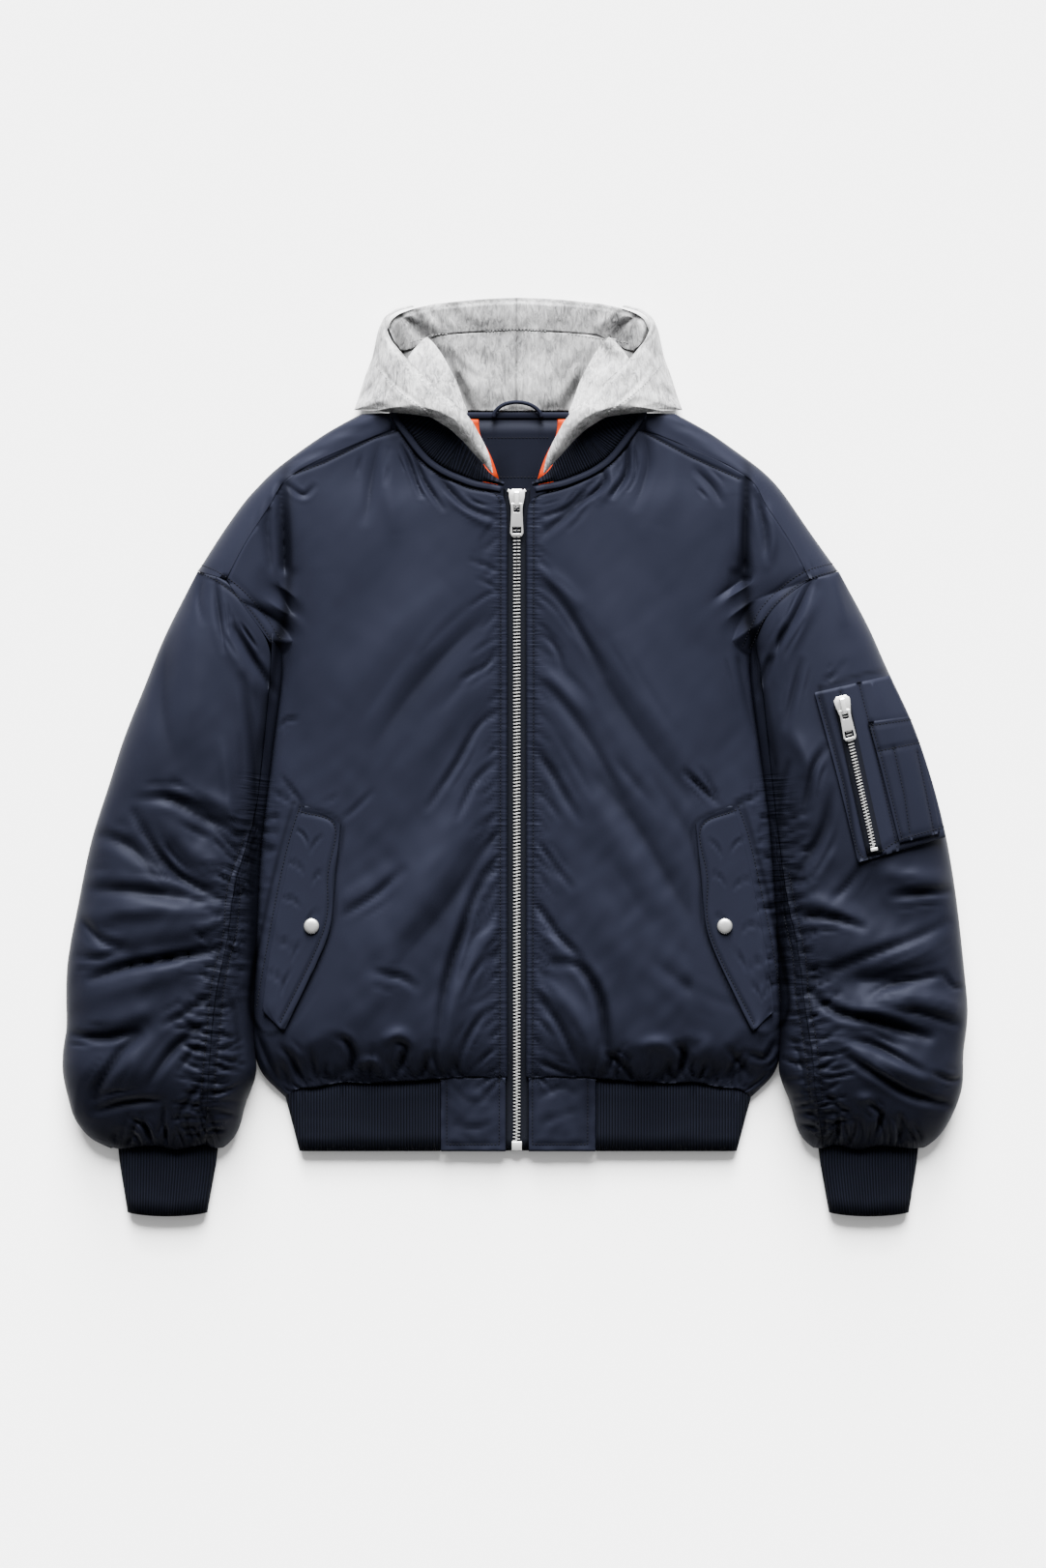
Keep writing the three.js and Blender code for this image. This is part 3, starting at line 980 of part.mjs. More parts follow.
function tabGeometry(long, wide) {
  const half = [[0.4, -long], [0.54, -long + 3], [0.5, -0.6 * long], [0.46, -0.25 * long], [0.46, 0.8]];
  const round = [...half, ...half.map(([x, y]) => [-x, y]).reverse()];
  const shape = new THREE.Shape(round.map(([x, y]) => new THREE.Vector2(x * wide, y)));
  const hole = (reach, top, bottom) =>
    new THREE.Path(points2([[-reach, top], [-reach, bottom], [reach, bottom], [reach, top]]));
  shape.holes.push(hole(2.9, -0.8, -7.6), hole(4.2, -long + 9, -long + 2.6));
  return slab(shape, TAB_THICK).translate(0, 0, -TAB_THICK / 2);
}
// Puts a zip's metal in place. The tab rests on the chain: its height is a function of the distance down.
function placeSlider(name, place, turn, long, wide, chain) {
  const group = new THREE.Group();
  group.position.copy(place);
  group.rotation.z = turn;
  jacket.add(group);
  const put = (piece, geometry) => {
    const mesh = node(`${name}_${piece}`, geometry, SILVER);
    group.add(mesh);
    return mesh;
  };
  put("slider", sliderGeometry());
  put("bridge", bridgeGeometry()).position.z = PLATE;
  const tab = put("pull", tabGeometry(long, wide));
  tab.position.set(0, PIVOT.y, PIVOT.z);
  const room = (reach) => (place.z + PIVOT.z - TAB_THICK / 2 - 0.5 - chain(reach - PIVOT.y)) / reach;
  tab.rotation.x = Math.atan(Math.min(...[0.5, 0.75, 1].map((share) => room(share * long))));
}
const SLIDER_Y = 239.6;
const sliderPlace = new THREE.Vector3(ZIP_X, SLIDER_Y, teethZ(TEETH_TOP_Y) + 0.4);
placeSlider("zip", sliderPlace, 0, 30, 11.6, (reach) => teethZ(SLIDER_Y - reach));

// Sleeve pocket on the right arm: a patch with a slanting zip and a pen pocket laid on it.
const onSleeve = heightOn(meshOf("sleeve_upper_right"));
const patch = (rows, columns, height, thickness) =>
  flatWall([...rows].reverse().map((r) => range(columns + 1).map((i) => {
    const x = mix(r.left, r.right, i / columns);
    const y = mix(r.leftY, r.rightY, i / columns);
    return { x, y, z: height(x, y) + thickness };
  })), thickness);
node("sleeve_pocket", patch(sleevePocketRows, 8, (x, y) => onSleeve(x, y, 4) + LIFT, SATIN), NAVY);
const onPocket = heightOn(meshOf("sleeve_pocket"));
node("pen_pocket", patch(penPocketRows, 5, (x, y) => onPocket(x, y, 3) + 0.5, SATIN), NAVY);
const SLEEVE_ZIP = { x: 299, y: 51, toX: 329.5, toY: -90, tape: 7.5, teeth: 2.9, high: 2 };
const sleeveZipTurn = Math.atan2(SLEEVE_ZIP.toX - SLEEVE_ZIP.x, SLEEVE_ZIP.y - SLEEVE_ZIP.toY);
const zipSpot = (share, out) => ({
  x: mix(SLEEVE_ZIP.x, SLEEVE_ZIP.toX, share) + out * Math.cos(sleeveZipTurn),
  y: mix(SLEEVE_ZIP.y, SLEEVE_ZIP.toY, share) + out * Math.sin(sleeveZipTurn),
});
const zipStrip = (half, from, to, height) => range(9).map((i) => [-half, half].map((out) => {
  const p = zipSpot(mix(to, from, i / 8), out);
  return { ...p, z: height(p.x, p.y) };
}));
const sleeveTape = zipStrip(SLEEVE_ZIP.tape, 0, 1, (x, y) => onPocket(x, y, 3) + 0.5 + TAPE);
node("sleeve_zip_tape", flatWall(sleeveTape, TAPE), TAPE_NAVY);
const onTape = heightOn(meshOf("sleeve_zip_tape"));
const tapeAt = (x, y) => Math.max(onTape(x, y), onTape(x + 2, y), onTape(x - 2, y));
const chainAt = (x, y) => tapeAt(x, y) + 0.5 + SLEEVE_ZIP.high;
node("sleeve_zip_teeth", flatWall(zipStrip(SLEEVE_ZIP.teeth, 0.06, 0.95, chainAt), SLEEVE_ZIP.high), SILVER);
const sleeveZipLength = Math.hypot(SLEEVE_ZIP.toX - SLEEVE_ZIP.x, SLEEVE_ZIP.toY - SLEEVE_ZIP.y);
const SLEEVE_SLIDER = 0.028; // where the slider stands, as a share of the zip's length
const sleeveChain = (reach) => {
  const p = zipSpot(SLEEVE_SLIDER + reach / sleeveZipLength, 0);
  return chainAt(p.x, p.y);
};
const sliderSpot = zipSpot(SLEEVE_SLIDER, 0);
const sliderZ = Math.max(...[3, 6, 9].map(sleeveChain)) + 0.4;
const sleeveSliderPlace = new THREE.Vector3(sliderSpot.x, sliderSpot.y, sliderZ);
placeSlider("sleeve_zip", sleeveSliderPlace, sleeveZipTurn, 28, 11, sleeveChain);
const stopSpot = zipSpot(0.972, 0);
const sleeveStop = node("sleeve_zip_stop", block(6.6, 3, 2.4), SILVER);
const stopZ = Math.max(...[0, 2].map((up) => tapeAt(stopSpot.x, stopSpot.y + up))) + 0.5;
sleeveStop.position.set(stopSpot.x, stopSpot.y, stopZ);
sleeveStop.rotation.z = sleeveZipTurn;

export default jacket;
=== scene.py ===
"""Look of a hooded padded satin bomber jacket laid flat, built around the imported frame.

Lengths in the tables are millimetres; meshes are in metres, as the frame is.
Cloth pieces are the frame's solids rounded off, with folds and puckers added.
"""
import json
import math

import bmesh
import bpy
import numpy as np
from bpy.props import FloatProperty, IntProperty, PointerProperty
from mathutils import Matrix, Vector
from mathutils.bvhtree import BVHTree

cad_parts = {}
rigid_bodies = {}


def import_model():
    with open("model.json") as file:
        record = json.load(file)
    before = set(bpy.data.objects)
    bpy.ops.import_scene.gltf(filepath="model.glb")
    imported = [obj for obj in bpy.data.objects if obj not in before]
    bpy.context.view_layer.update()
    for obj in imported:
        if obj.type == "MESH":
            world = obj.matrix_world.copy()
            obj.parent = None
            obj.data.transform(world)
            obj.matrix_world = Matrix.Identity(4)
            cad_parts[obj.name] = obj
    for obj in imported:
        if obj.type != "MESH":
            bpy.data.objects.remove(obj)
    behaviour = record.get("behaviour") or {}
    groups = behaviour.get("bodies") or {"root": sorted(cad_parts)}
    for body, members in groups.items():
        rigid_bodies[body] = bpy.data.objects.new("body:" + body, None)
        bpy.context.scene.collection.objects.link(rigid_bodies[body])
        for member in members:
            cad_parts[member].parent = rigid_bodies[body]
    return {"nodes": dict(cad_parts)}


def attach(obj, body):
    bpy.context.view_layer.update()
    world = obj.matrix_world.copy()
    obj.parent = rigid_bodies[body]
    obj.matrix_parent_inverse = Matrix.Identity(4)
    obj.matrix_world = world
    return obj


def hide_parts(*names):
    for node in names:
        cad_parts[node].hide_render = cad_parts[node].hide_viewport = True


bl_info = {
    "name": "Bomber Jacket",
    "version": (1, 0, 0),
    "blender": (4, 5, 0),
    "location": "View3D > Sidebar > Jacket",
    "description": "Builds a hooded padded bomber jacket laid flat, with its floor, light and camera",
    "category": "Object",
}

MM = 0.001
ROOT = "jacket"
ZIP_X = -1.3  # middle of the front zip
LOOK = "_look"  # ends the names of the materials made here

# Folds are drawn on enlarged quarters of the jacket. A quarter has a corner and an enlargement;
# one drawing unit before enlargement is 0.9 mm, and (536, 782.5) is the middle of the jacket.
UNIT = 0.9
MIDDLE = (536.0, 782.5)
QUARTERS = {
    "low_left": ((80, 800), 3.267),
    "low_right": ((520, 800), 3.2),
    "high_left": ((140, 420), 3.564),
    "high_right": ((520, 420), 3.2),
    "hood": ((350, 290), 4.126),
    "plain": ((0, 0), 1.0),
}
# Each fold: the points it runs through, its half width on the drawing, its height in mm
# (below zero for a trough).
FOLDS = {
    "low_left": [
        ([(200, 130), (260, 240), (350, 345), (505, 425)], 20, -6.5),
        ([(250, 110), (360, 230), (500, 340)], 38, 3.5),
        ([(290, 70), (400, 130), (525, 190)], 26, -5),
        ([(400, 60), (520, 120), (570, 200)], 28, 3),
        ([(45, 195), (170, 235), (295, 330)], 34, -5),
        ([(40, 385), (200, 395), (420, 425)], 30, -6),
        ([(30, 480), (220, 458), (455, 462)], 32, 5),
        ([(15, 490), (90, 560), (170, 590)], 24, -6),
        ([(0, 615), (80, 620), (150, 600)], 18, -4),
        ([(100, 560), (300, 530), (520, 500)], 46, 4),
        ([(60, 690), (180, 648), (330, 620), (490, 590)], 22, -9),
        ([(80, 740), (250, 690), (420, 640)], 36, 5),
        ([(300, 845), (380, 800), (450, 740)], 18, -3.5),
        ([(0, 880), (100, 890), (210, 868)], 20, -6),
        ([(40, 845), (150, 835), (260, 795)], 32, 4),
        ([(215, 880), (150, 950), (100, 1050), (95, 1130)], 22, -6.5),
        ([(330, 840), (230, 930), (160, 1040)], 34, 4.5),
        ([(420, 850), (330, 930), (250, 1040)], 22, -5),
        ([(100, 1140), (180, 1108), (290, 1100)], 20, -6),
        ([(330, 1180), (380, 1100), (440, 1020)], 16, -4),
        ([(195, 1165), (235, 1195), (250, 1225)], 12, -6),
        ([(300, 1120), (290, 1180), (275, 1215)], 12, -4),
        ([(450, 1190), (425, 1130), (430, 1080)], 10, -3),
        ([(500, 700), (540, 820), (560, 960)], 20, -3),
        ([(895, 480), (1000, 415), (1105, 325)], 18, -3),
        ([(880, 440), (980, 380), (1080, 300)], 26, 2),
        ([(1330, 120), (1150, 420), (950, 640)], 74, 4),
        ([(1400, 200), (1270, 420), (1090, 640)], 52, -4),
        ([(1010, 668), (1100, 690), (1145, 720)], 20, -4),
        ([(1420, 285), (1350, 400), (1300, 540), (1245, 720), (1215, 965)], 22, -7),
        ([(1440, 470), (1340, 640), (1270, 800), (1240, 960)], 32, 4.5),
        ([(1425, 590), (1360, 640), (1300, 760)], 15, -3.5),
        ([(1390, 790), (1330, 870), (1275, 1000)], 16, -4.5),
        ([(1110, 560), (1000, 760), (930, 860)], 50, 2.5),
        ([(870, 885), (912, 905), (935, 960), (915, 1015)], 17, -8),
        ([(780, 905), (850, 868), (905, 880)], 24, 4.5),
        ([(1080, 905), (1112, 930), (1075, 1025)], 17, -8),
        ([(1030, 905), (1090, 878), (1125, 900)], 20, 4),
        ([(940, 985), (1000, 970), (1030, 1010)], 16, 4),
        ([(690, 920), (722, 962), (745, 1030)], 17, -5.5),
        ([(600, 860), (640, 960), (680, 1040)], 18, -4),
        ([(700, 865), (760, 805), (820, 705)], 13, -2.5),
        ([(890, 160), (940, 120), (1000, 60)], 13, -2),
        ([(660, 62), (720, 92), (765, 106)], 12, -3),
        ([(690, 15), (740, 68), (768, 102)], 11, -2.5),
        ([(830, 95), (860, 90), (880, 70)], 10, -2),
        ([(742, 190), (766, 206), (782, 236)], 9, -0.9), ([(830, 210), (806, 232), (790, 262)], 9, -0.8),
        ([(712, 300), (744, 306), (770, 330)], 9, -0.8), ([(838, 330), (812, 342), (796, 366)], 9, -0.9),
        ([(696, 420), (728, 424), (756, 444)], 9, -0.9), ([(820, 470), (796, 476), (776, 500)], 9, -0.8),
        ([(664, 560), (700, 566), (736, 586)], 10, -0.9), ([(764, 566), (742, 590), (730, 622)], 9, -0.8),
        ([(640, 668), (672, 680), (700, 704)], 10, -0.9), ([(724, 668), (704, 700), (694, 736)], 9, -0.9),
        ([(1270, 1060), (1330, 1110), (1410, 1100)], 16, -1.6),
        ([(1260, 1180), (1340, 1200), (1420, 1170)], 16, -1.6),
    ],
    "low_right": [
        ([(105, 420), (180, 530), (262, 615)], 17, -5),
        ([(110, 480), (170, 570), (240, 650)], 20, 3),
        ([(175, 622), (255, 640), (320, 745), (345, 900), (362, 985)], 23, -8),
        ([(120, 690), (225, 780), (285, 900), (325, 990)], 32, 4.5),
        ([(108, 740), (180, 820), (250, 965)], 16, -5),
        ([(120, 955), (180, 980), (235, 1003)], 14, -3),
        ([(300, 0), (430, 160), (560, 380), (620, 470)], 54, -4.5),
        ([(240, 60), (380, 260), (520, 480)], 74, 3.5),
        ([(600, 690), (700, 745), (800, 775)], 26, -3.5),
        ([(500, 620), (600, 700), (680, 800)], 36, -2.5),
        ([(110, 220), (160, 290), (230, 380)], 15, -3),
        ([(112, 40), (150, 90), (190, 150)], 13, -2.5),
        ([(575, 895), (602, 935), (582, 1005)], 16, -8.5),
        ([(612, 868), (665, 882), (640, 960)], 24, 5),
        ([(810, 925), (868, 940), (902, 885)], 17, -5),
        ([(745, 905), (815, 1000)], 16, -4.5),
        ([(350, 930), (392, 960), (425, 1012)], 14, -6),
        ([(440, 900), (520, 890), (560, 920)], 22, 4),
        ([(730, 900), (800, 840), (880, 868)], 24, 3.5),
        ([(705, 95), (655, 45), (600, 0)], 11, -3.5),
        ([(717, 100), (695, 55), (650, -20)], 10, -2.5),
        ([(760, 100), (820, 82), (865, 60)], 10, -2.5),
        ([(680, 220), (706, 240), (722, 272)], 9, -0.9), ([(800, 214), (774, 226), (752, 252)], 9, -0.8),
        ([(690, 330), (716, 342), (736, 366)], 9, -0.8), ([(816, 352), (786, 356), (760, 376)], 9, -0.9),
        ([(700, 470), (726, 480), (746, 502)], 9, -0.9), ([(846, 500), (812, 500), (786, 520)], 9, -0.8),
        ([(760, 586), (784, 606), (800, 640)], 10, -0.9), ([(872, 620), (838, 622), (812, 642)], 9, -0.9),
        ([(812, 690), (836, 708), (850, 736)], 9, -0.9), ([(900, 720), (872, 724), (850, 744)], 9, -0.9),
        ([(110, 1080), (190, 1040), (240, 1060)], 16, -1.6),
        ([(130, 1160), (200, 1130), (270, 1110)], 16, -1.6),
        ([(958, 350), (1000, 285), (1055, 180), (1085, 60)], 24, -5),
        ([(1000, 380), (1060, 290), (1110, 260)], 30, 3),
        ([(970, 470), (1080, 475), (1185, 505)], 18, -6),
        ([(980, 425), (1080, 435), (1170, 480)], 26, 4),
        ([(1280, 402), (1370, 395), (1500, 385)], 19, -6.5),
        ([(1250, 325), (1380, 348), (1490, 340)], 28, 4),
        ([(1470, 490), (1350, 545), (1200, 600), (1010, 680)], 24, -4.5),
        ([(1440, 560), (1300, 620), (1180, 660)], 32, 3.5),
        ([(1000, 712), (1100, 785), (1250, 822), (1405, 870)], 22, -9),
        ([(1200, 735), (1290, 692), (1450, 662)], 18, -5.5),
        ([(1215, 742), (1360, 735), (1545, 795)], 30, 5),
        ([(1240, 765), (1390, 792), (1500, 830)], 18, -5.5),
        ([(1452, 662), (1485, 702), (1535, 702)], 13, -4),
        ([(1140, 876), (1235, 900), (1388, 985)], 19, -6.5),
        ([(1130, 930), (1250, 1005), (1350, 1062), (1480, 1095)], 20, -8),
        ([(1070, 860), (1250, 958), (1440, 1038)], 32, 4.5),
        ([(1415, 985), (1480, 1012), (1535, 1000)], 14, -4.5),
        ([(1050, 1040), (1100, 1092), (1150, 1130)], 15, -3.5),
        ([(1205, 1085), (1250, 1128), (1240, 1185)], 13, -7),
        ([(1305, 1120), (1335, 1175)], 11, -5),
        ([(1160, 1070), (1220, 1070)], 18, 3.5),
        ([(960, 880), (985, 960), (1000, 1060)], 16, -3),
        ([(1180, 290), (1150, 350), (1080, 420)], 20, -3.5),
    ],
    "high_left": [
        ([(538, 292), (548, 480), (552, 660), (548, 830)], 24, -7.6),
        ([(500, 360), (488, 480), (505, 620)], 20, -3),
        ([(568, 300), (590, 450), (588, 640)], 34, 2.5),
        ([(370, 822), (430, 920), (520, 1062)], 20, -6.5),
        ([(330, 830), (400, 960), (480, 1080)], 28, 3.5),
        ([(300, 655), (312, 760), (335, 900)], 18, -3.5),
        ([(405, 1005), (440, 1250), (452, 1500)], 26, -4.5),
        ([(215, 700), (215, 1000), (260, 1300)], 56, 2.5),
        ([(120, 880), (110, 1100), (150, 1300)], 44, -2.5),
        ([(20, 1445), (150, 1450), (300, 1490)], 26, -4),
        ([(330, 1250), (350, 1400), (362, 1555)], 24, 3),
        ([(690, 620), (700, 900), (640, 1180)], 66, 2),
        ([(560, 292), (620, 332), (660, 300)], 16, -2),
        ([(985, 150), (1020, 232), (1055, 335)], 13, -3.5),
        ([(1028, 175), (1062, 272), (1135, 382)], 14, -3.5),
        ([(1118, 265), (1220, 375), (1335, 420)], 18, -4.5),
        ([(1160, 330), (1240, 400), (1320, 440)], 18, 2.5),
        ([(895, 150), (875, 260), (850, 420)], 28, -2.5),
        ([(940, 160), (930, 300), (960, 480)], 36, 2.5),
        ([(1235, 570), (1300, 592), (1352, 620)], 11, -2.5),
        ([(1260, 640), (1310, 660), (1350, 700)], 11, -2),
        ([(1342, 1120), (1262, 1182), (1185, 1320), (1080, 1480)], 18, -4),
        ([(1345, 1010), (1200, 1110), (1010, 1330)], 54, 2.2),
        ([(1320, 760), (1180, 880), (1010, 1070), (880, 1260)], 54, -3),
        ([(1150, 660), (950, 860), (760, 1100)], 70, 3),
        ([(1335, 1300), (1250, 1385), (1190, 1520)], 15, -3.5),
        ([(1330, 900), (1290, 960), (1200, 1010)], 13, -2.5),
        ([(530, 1185), (560, 1160), (600, 1155)], 12, -2.5),
        ([(555, 800), (575, 840), (580, 890)], 12, -2.5),
        ([(545, 1420), (585, 1435), (615, 1462)], 12, -2.5),
        ([(700, 110), (780, 90), (860, 90)], 16, -1.5),
        ([(560, 215), (640, 180), (720, 165)], 16, -1.5),
        ([(250, 640), (240, 720), (255, 800)], 16, -2),
    ],
    "high_right": [
        ([(803, 252), (800, 480), (806, 640), (818, 820)], 22, -7.6),
        ([(770, 300), (768, 500), (775, 700)], 32, 2.5),
        ([(832, 290), (862, 400), (875, 520)], 16, -3.5),
        ([(880, 345), (892, 450), (870, 540)], 16, 3),
        ([(1012, 592), (962, 700), (905, 800), (868, 910)], 17, -4.5),
        ([(1030, 640), (960, 780), (915, 910)], 22, 3.5),
        ([(930, 742), (880, 832), (842, 960)], 16, -4.5),
        ([(1088, 560), (1110, 640), (1130, 740)], 26, 2.5),
        ([(982, 850), (955, 960), (930, 1062)], 18, -3.5),
        ([(1130, 850), (1090, 895), (1060, 910)], 14, -2.5),
        ([(1062, 1130), (1022, 1200), (992, 1345)], 18, -5.5),
        ([(940, 1182), (918, 1280), (900, 1400)], 16, -4.5),
        ([(950, 1080), (1000, 1180), (985, 1240)], 24, 3),
        ([(412, 118), (408, 225), (362, 300)], 14, -5),
        ([(332, 208), (330, 262), (250, 332)], 13, -4),
        ([(292, 258), (240, 332), (130, 432)], 18, -4),
        ([(262, 290), (200, 345), (118, 372)], 14, -3),
        ([(350, 200), (360, 260), (320, 320)], 16, 3),
        ([(110, 580), (190, 650), (262, 760), (335, 885)], 20, -2.9),
        ([(108, 540), (180, 585), (262, 680)], 24, 2.5),
        ([(230, 700), (300, 850), (460, 1100), (640, 1330)], 50, -3),
        ([(360, 760), (490, 1000), (640, 1240)], 64, 2),
        ([(110, 900), (200, 985), (300, 1130), (400, 1310)], 30, -3.4),
        ([(110, 870), (180, 925), (260, 1020)], 22, 3),
        ([(128, 752), (175, 800), (200, 870)], 13, -2.5),
        ([(110, 1130), (170, 1230), (250, 1370)], 20, -3.5),
        ([(600, 1205), (662, 1272), (722, 1330)], 13, -3.5),
        ([(762, 1322), (822, 1300), (860, 1290)], 10, -2.5),
        ([(768, 780), (790, 900), (835, 1100)], 17, -2.5),
        ([(640, 215), (690, 268), (722, 320)], 18, -2.5),
        ([(540, 120), (560, 250), (520, 400)], 40, 2),
        ([(470, 90), (480, 200), (440, 330)], 24, -2.5),
        ([(560, 60), (660, 90), (760, 140)], 16, -1.5),
    ],
}
# Calm areas where the big folds fade: middle, half sizes on the drawing, what is left of the folds.
CALM = [((322, 955), (30, 110), 0.2), ((748, 955), (30, 110), 0.2), ((915, 790), (48, 92), 0.12),
        ((293, 636), (22, 40), 0.2), ((778, 636), (22, 40), 0.2)]

# Sewn lines on the plain drawing. kind: how the cloth behaves along them.
SEAMS = {
    "front_left": [(518, 504), (518, 700), (517.5, 900), (517, 1119)],
    "front_right": [(552, 504), (552, 700), (551.5, 900), (551, 1119)],
    "sleeve_left": [(270, 800), (261, 863), (243.7, 915), (239.4, 963.5), (232, 992), (226.5, 1021),
                    (223.6, 1050), (221, 1078), (218, 1107), (216.5, 1136), (215, 1172)],
    "sleeve_right": [(801, 800), (809, 903), (817.4, 949), (826, 992), (829, 1032), (836, 1072.5),
                     (840.4, 1107), (843, 1136), (849, 1172)],
    "hem_left": [(296, 1137), (318, 1124), (340, 1120), (362, 1123), (385, 1120), (405, 1119), (430, 1117), (527, 1115)],
    "hem_right": [(543, 1115), (620, 1115), (640, 1119), (665, 1118), (690, 1122), (706, 1119), (720, 1117),
                  (742, 1124), (768, 1127), (777, 1136)],
    "cuff_left": [(118, 1180), (140, 1187), (165, 1184), (190, 1186), (215, 1181), (228, 1178)],
    "cuff_right": [(840, 1180), (862, 1184), (890, 1184), (915, 1186), (940, 1182), (955, 1178)],
}

# Sewn lines that show their stitches: points on the plain drawing, a second row's offset (0 for none).
NECK_LEFT = [(404.5, 429), (409, 440.5), (416, 453), (423, 464.6), (430.4, 473.6), (439, 481.6), (450, 489.6),
             (458, 495), (471, 499.5), (485, 505.7), (498, 508.4), (510, 510.5), (515.5, 515), (518, 522)]
NECK_RIGHT = [(664, 431.6), (658, 446), (647.7, 462), (637, 476.5), (625.7, 486), (613, 493), (601, 498.5),
              (578, 507), (560, 511.4), (554, 516), (552, 522)]
SEWN = [
    ([(518, 522), *SEAMS["front_left"][1:]], 0), ([(552, 522), *SEAMS["front_right"][1:]], 0),
    (NECK_LEFT, 0), (NECK_RIGHT, 0),
    ([(409.4, 447), (386.9, 454), (336.4, 479), (305, 491)], 0),
    ([(663.8, 446.4), (713.8, 473), (764, 496)], 0),
    ([(204.5, 592), (224, 600.6), (246.6, 617.4), (266.3, 639.9), (283, 665)], -8.5),
    ([(866.9, 590), (837, 599), (816.9, 611.6), (791.9, 636.6), (776, 671)], 8.5),
    ([(x - 6, y) for x, y in SEAMS["sleeve_left"][1:-1]], 0), ([(x + 7, y) for x, y in SEAMS["sleeve_left"][2:-1]], 0),
    ([(x + 6, y) for x, y in SEAMS["sleeve_right"][1:-1]], 0), ([(x - 7, y) for x, y in SEAMS["sleeve_right"][2:-1]], 0),
    ([(462, 1119), (462, 1184), (516.3, 1184), (516.3, 1119)], 0),
    ([(608, 1119), (608, 1184), (550.8, 1184), (550.8, 1119)], 0),
    ([(310, 839), (347, 853), (340, 904), (335.5, 962), (291, 1056)], 0),
    ([(760, 838), (724, 856), (731, 908), (734, 966), (779, 1058)], 0),
    ([(311, 834), (299, 872), (286, 930), (269.5, 1020), (266, 1040)], 0),
    ([(763, 834), (775, 870), (791.5, 944), (803, 1003), (807, 1036)], 0),
    ([(845, 722), (869, 807), (888, 885), (928, 868), (976, 855)], 0),
    ([(867, 716), (883, 780), (905, 881)], 0), ([(886, 706), (897, 750), (925, 876)], 0),
    ([(899, 749), (910, 787), (930, 868)], 0), ([(897, 751), (945, 744)], 0), ([(906, 777), (951, 768)], 0),
    ([(922, 775), (933, 825), (938, 861)], 0), ([(947, 778), (956, 822), (964, 862)], 0),
    ([(505, 452), (567, 452)], 0), ([(518, 493), (555, 493)], 0),
]
HOOD_SEWN = [
    [(388, 378), (397, 389), (406, 399.5), (415.5, 409), (425, 416), (434, 422), (443, 428)],
    [(684, 378), (675, 389), (666, 399.5), (656, 409), (647, 416), (638, 422), (629, 428)],
    [(425, 353), (449, 346), (466, 344.5), (489, 343), (534.5, 340), (580, 343), (603, 346.6), (650, 354)],
]


def on_drawing(quarter, points):
    """Points of a quarter's drawing in jacket millimetres."""
    (left, top), zoom = QUARTERS[quarter]
    return np.array([((left + x / zoom - MIDDLE[0]) * UNIT, (MIDDLE[1] - top - y / zoom) * UNIT) for x, y in points])


def curve_through(points, steps=6):
    """A smooth line through the points."""
    p = np.asarray(points, float)
    if len(p) == 2:
        return np.linspace(p[0], p[1], steps)
    ends = np.vstack([2 * p[0] - p[1], p, 2 * p[-1] - p[-2]])
    out = []
    for a, b, c, d in zip(ends[:-3], ends[1:-2], ends[2:-1], ends[3:]):
        for t in np.arange(steps) / steps:
            out.append(0.5 * (2 * b + (c - a) * t + (2 * a - 5 * b + 4 * c - d) * t**2 + (3 * b - a - 3 * c + d) * t**3))
    return np.array(out + [p[-1]])


def along_line(xy, line):
    """For each point: distance to the line, its signed side, and the share of the line's length reached."""
    steps = np.linalg.norm(np.diff(line, axis=0), axis=1)
    total = steps.sum()
    best = np.full(len(xy), 1e9)
    share = np.zeros(len(xy))
    side = np.zeros(len(xy))
    run = 0.0
    for a, b, length in zip(line[:-1], line[1:], steps):
        ab = (b - a) / max(length, 1e-9)
        reach = np.clip((xy - a) @ ab, 0, length)
        off = xy - a - reach[:, None] * ab
        d = np.hypot(off[:, 0], off[:, 1])
        nearer = d < best
        best[nearer] = d[nearer]
        share[nearer] = (run + reach[nearer]) / total
        side[nearer] = np.sign(ab[0] * off[nearer, 1] - ab[1] * off[nearer, 0])
        run += length
    return best, side, share


def add_fold(z, xy, line, wide, high):
    """Adds one fold to the heights z: a trough is creased at its bottom, a ridge is round."""
    low, top = line.min(0) - 2.6 * wide, line.max(0) + 2.6 * wide
    near = np.where((xy[:, 0] > low[0]) & (xy[:, 0] < top[0]) & (xy[:, 1] > low[1]) & (xy[:, 1] < top[1]))[0]
    if not len(near):
        return
    d, side, share = along_line(xy[near], line)
    taper = np.sin(np.pi * (0.05 + 0.9 * share)) ** 0.75
    if high > 0:
        z[near] += high * taper * np.exp(-((d / wide) ** 2))
        return
    sharp = np.exp(-((d / (0.62 * wide)) ** 1.15))
    lip = np.exp(-(((d - 1.25 * wide) / (0.6 * wide)) ** 2))
    z[near] += high * taper * (0.94 * sharp - 0.2 * lip)


def side_creases(line, wide, high, rng):
    """Short shallow creases that run beside a trough, as cloth that is pushed together has them."""
    out = []
    way = np.gradient(line, axis=0)
    way /= np.maximum(np.linalg.norm(way, axis=1)[:, None], 1e-9)
    normal = np.column_stack([-way[:, 1], way[:, 0]])
    for _ in range(3):
        first = rng.uniform(0, 0.55)
        keep = slice(int(first * len(line)), max(int((first + rng.uniform(0.3, 0.5)) * len(line)), 3))
        offset = rng.choice([-1, 1]) * wide * rng.uniform(1.3, 2.6)
        spread = 1 + 0.35 * rng.uniform(-1, 1) * np.linspace(0, 1, len(line))[keep, None]
        piece = line[keep] + normal[keep] * offset * spread
        if len(piece) > 2:
            out.append((piece, wide * rng.uniform(0.35, 0.6), high * rng.uniform(0.18, 0.36)))
    return out


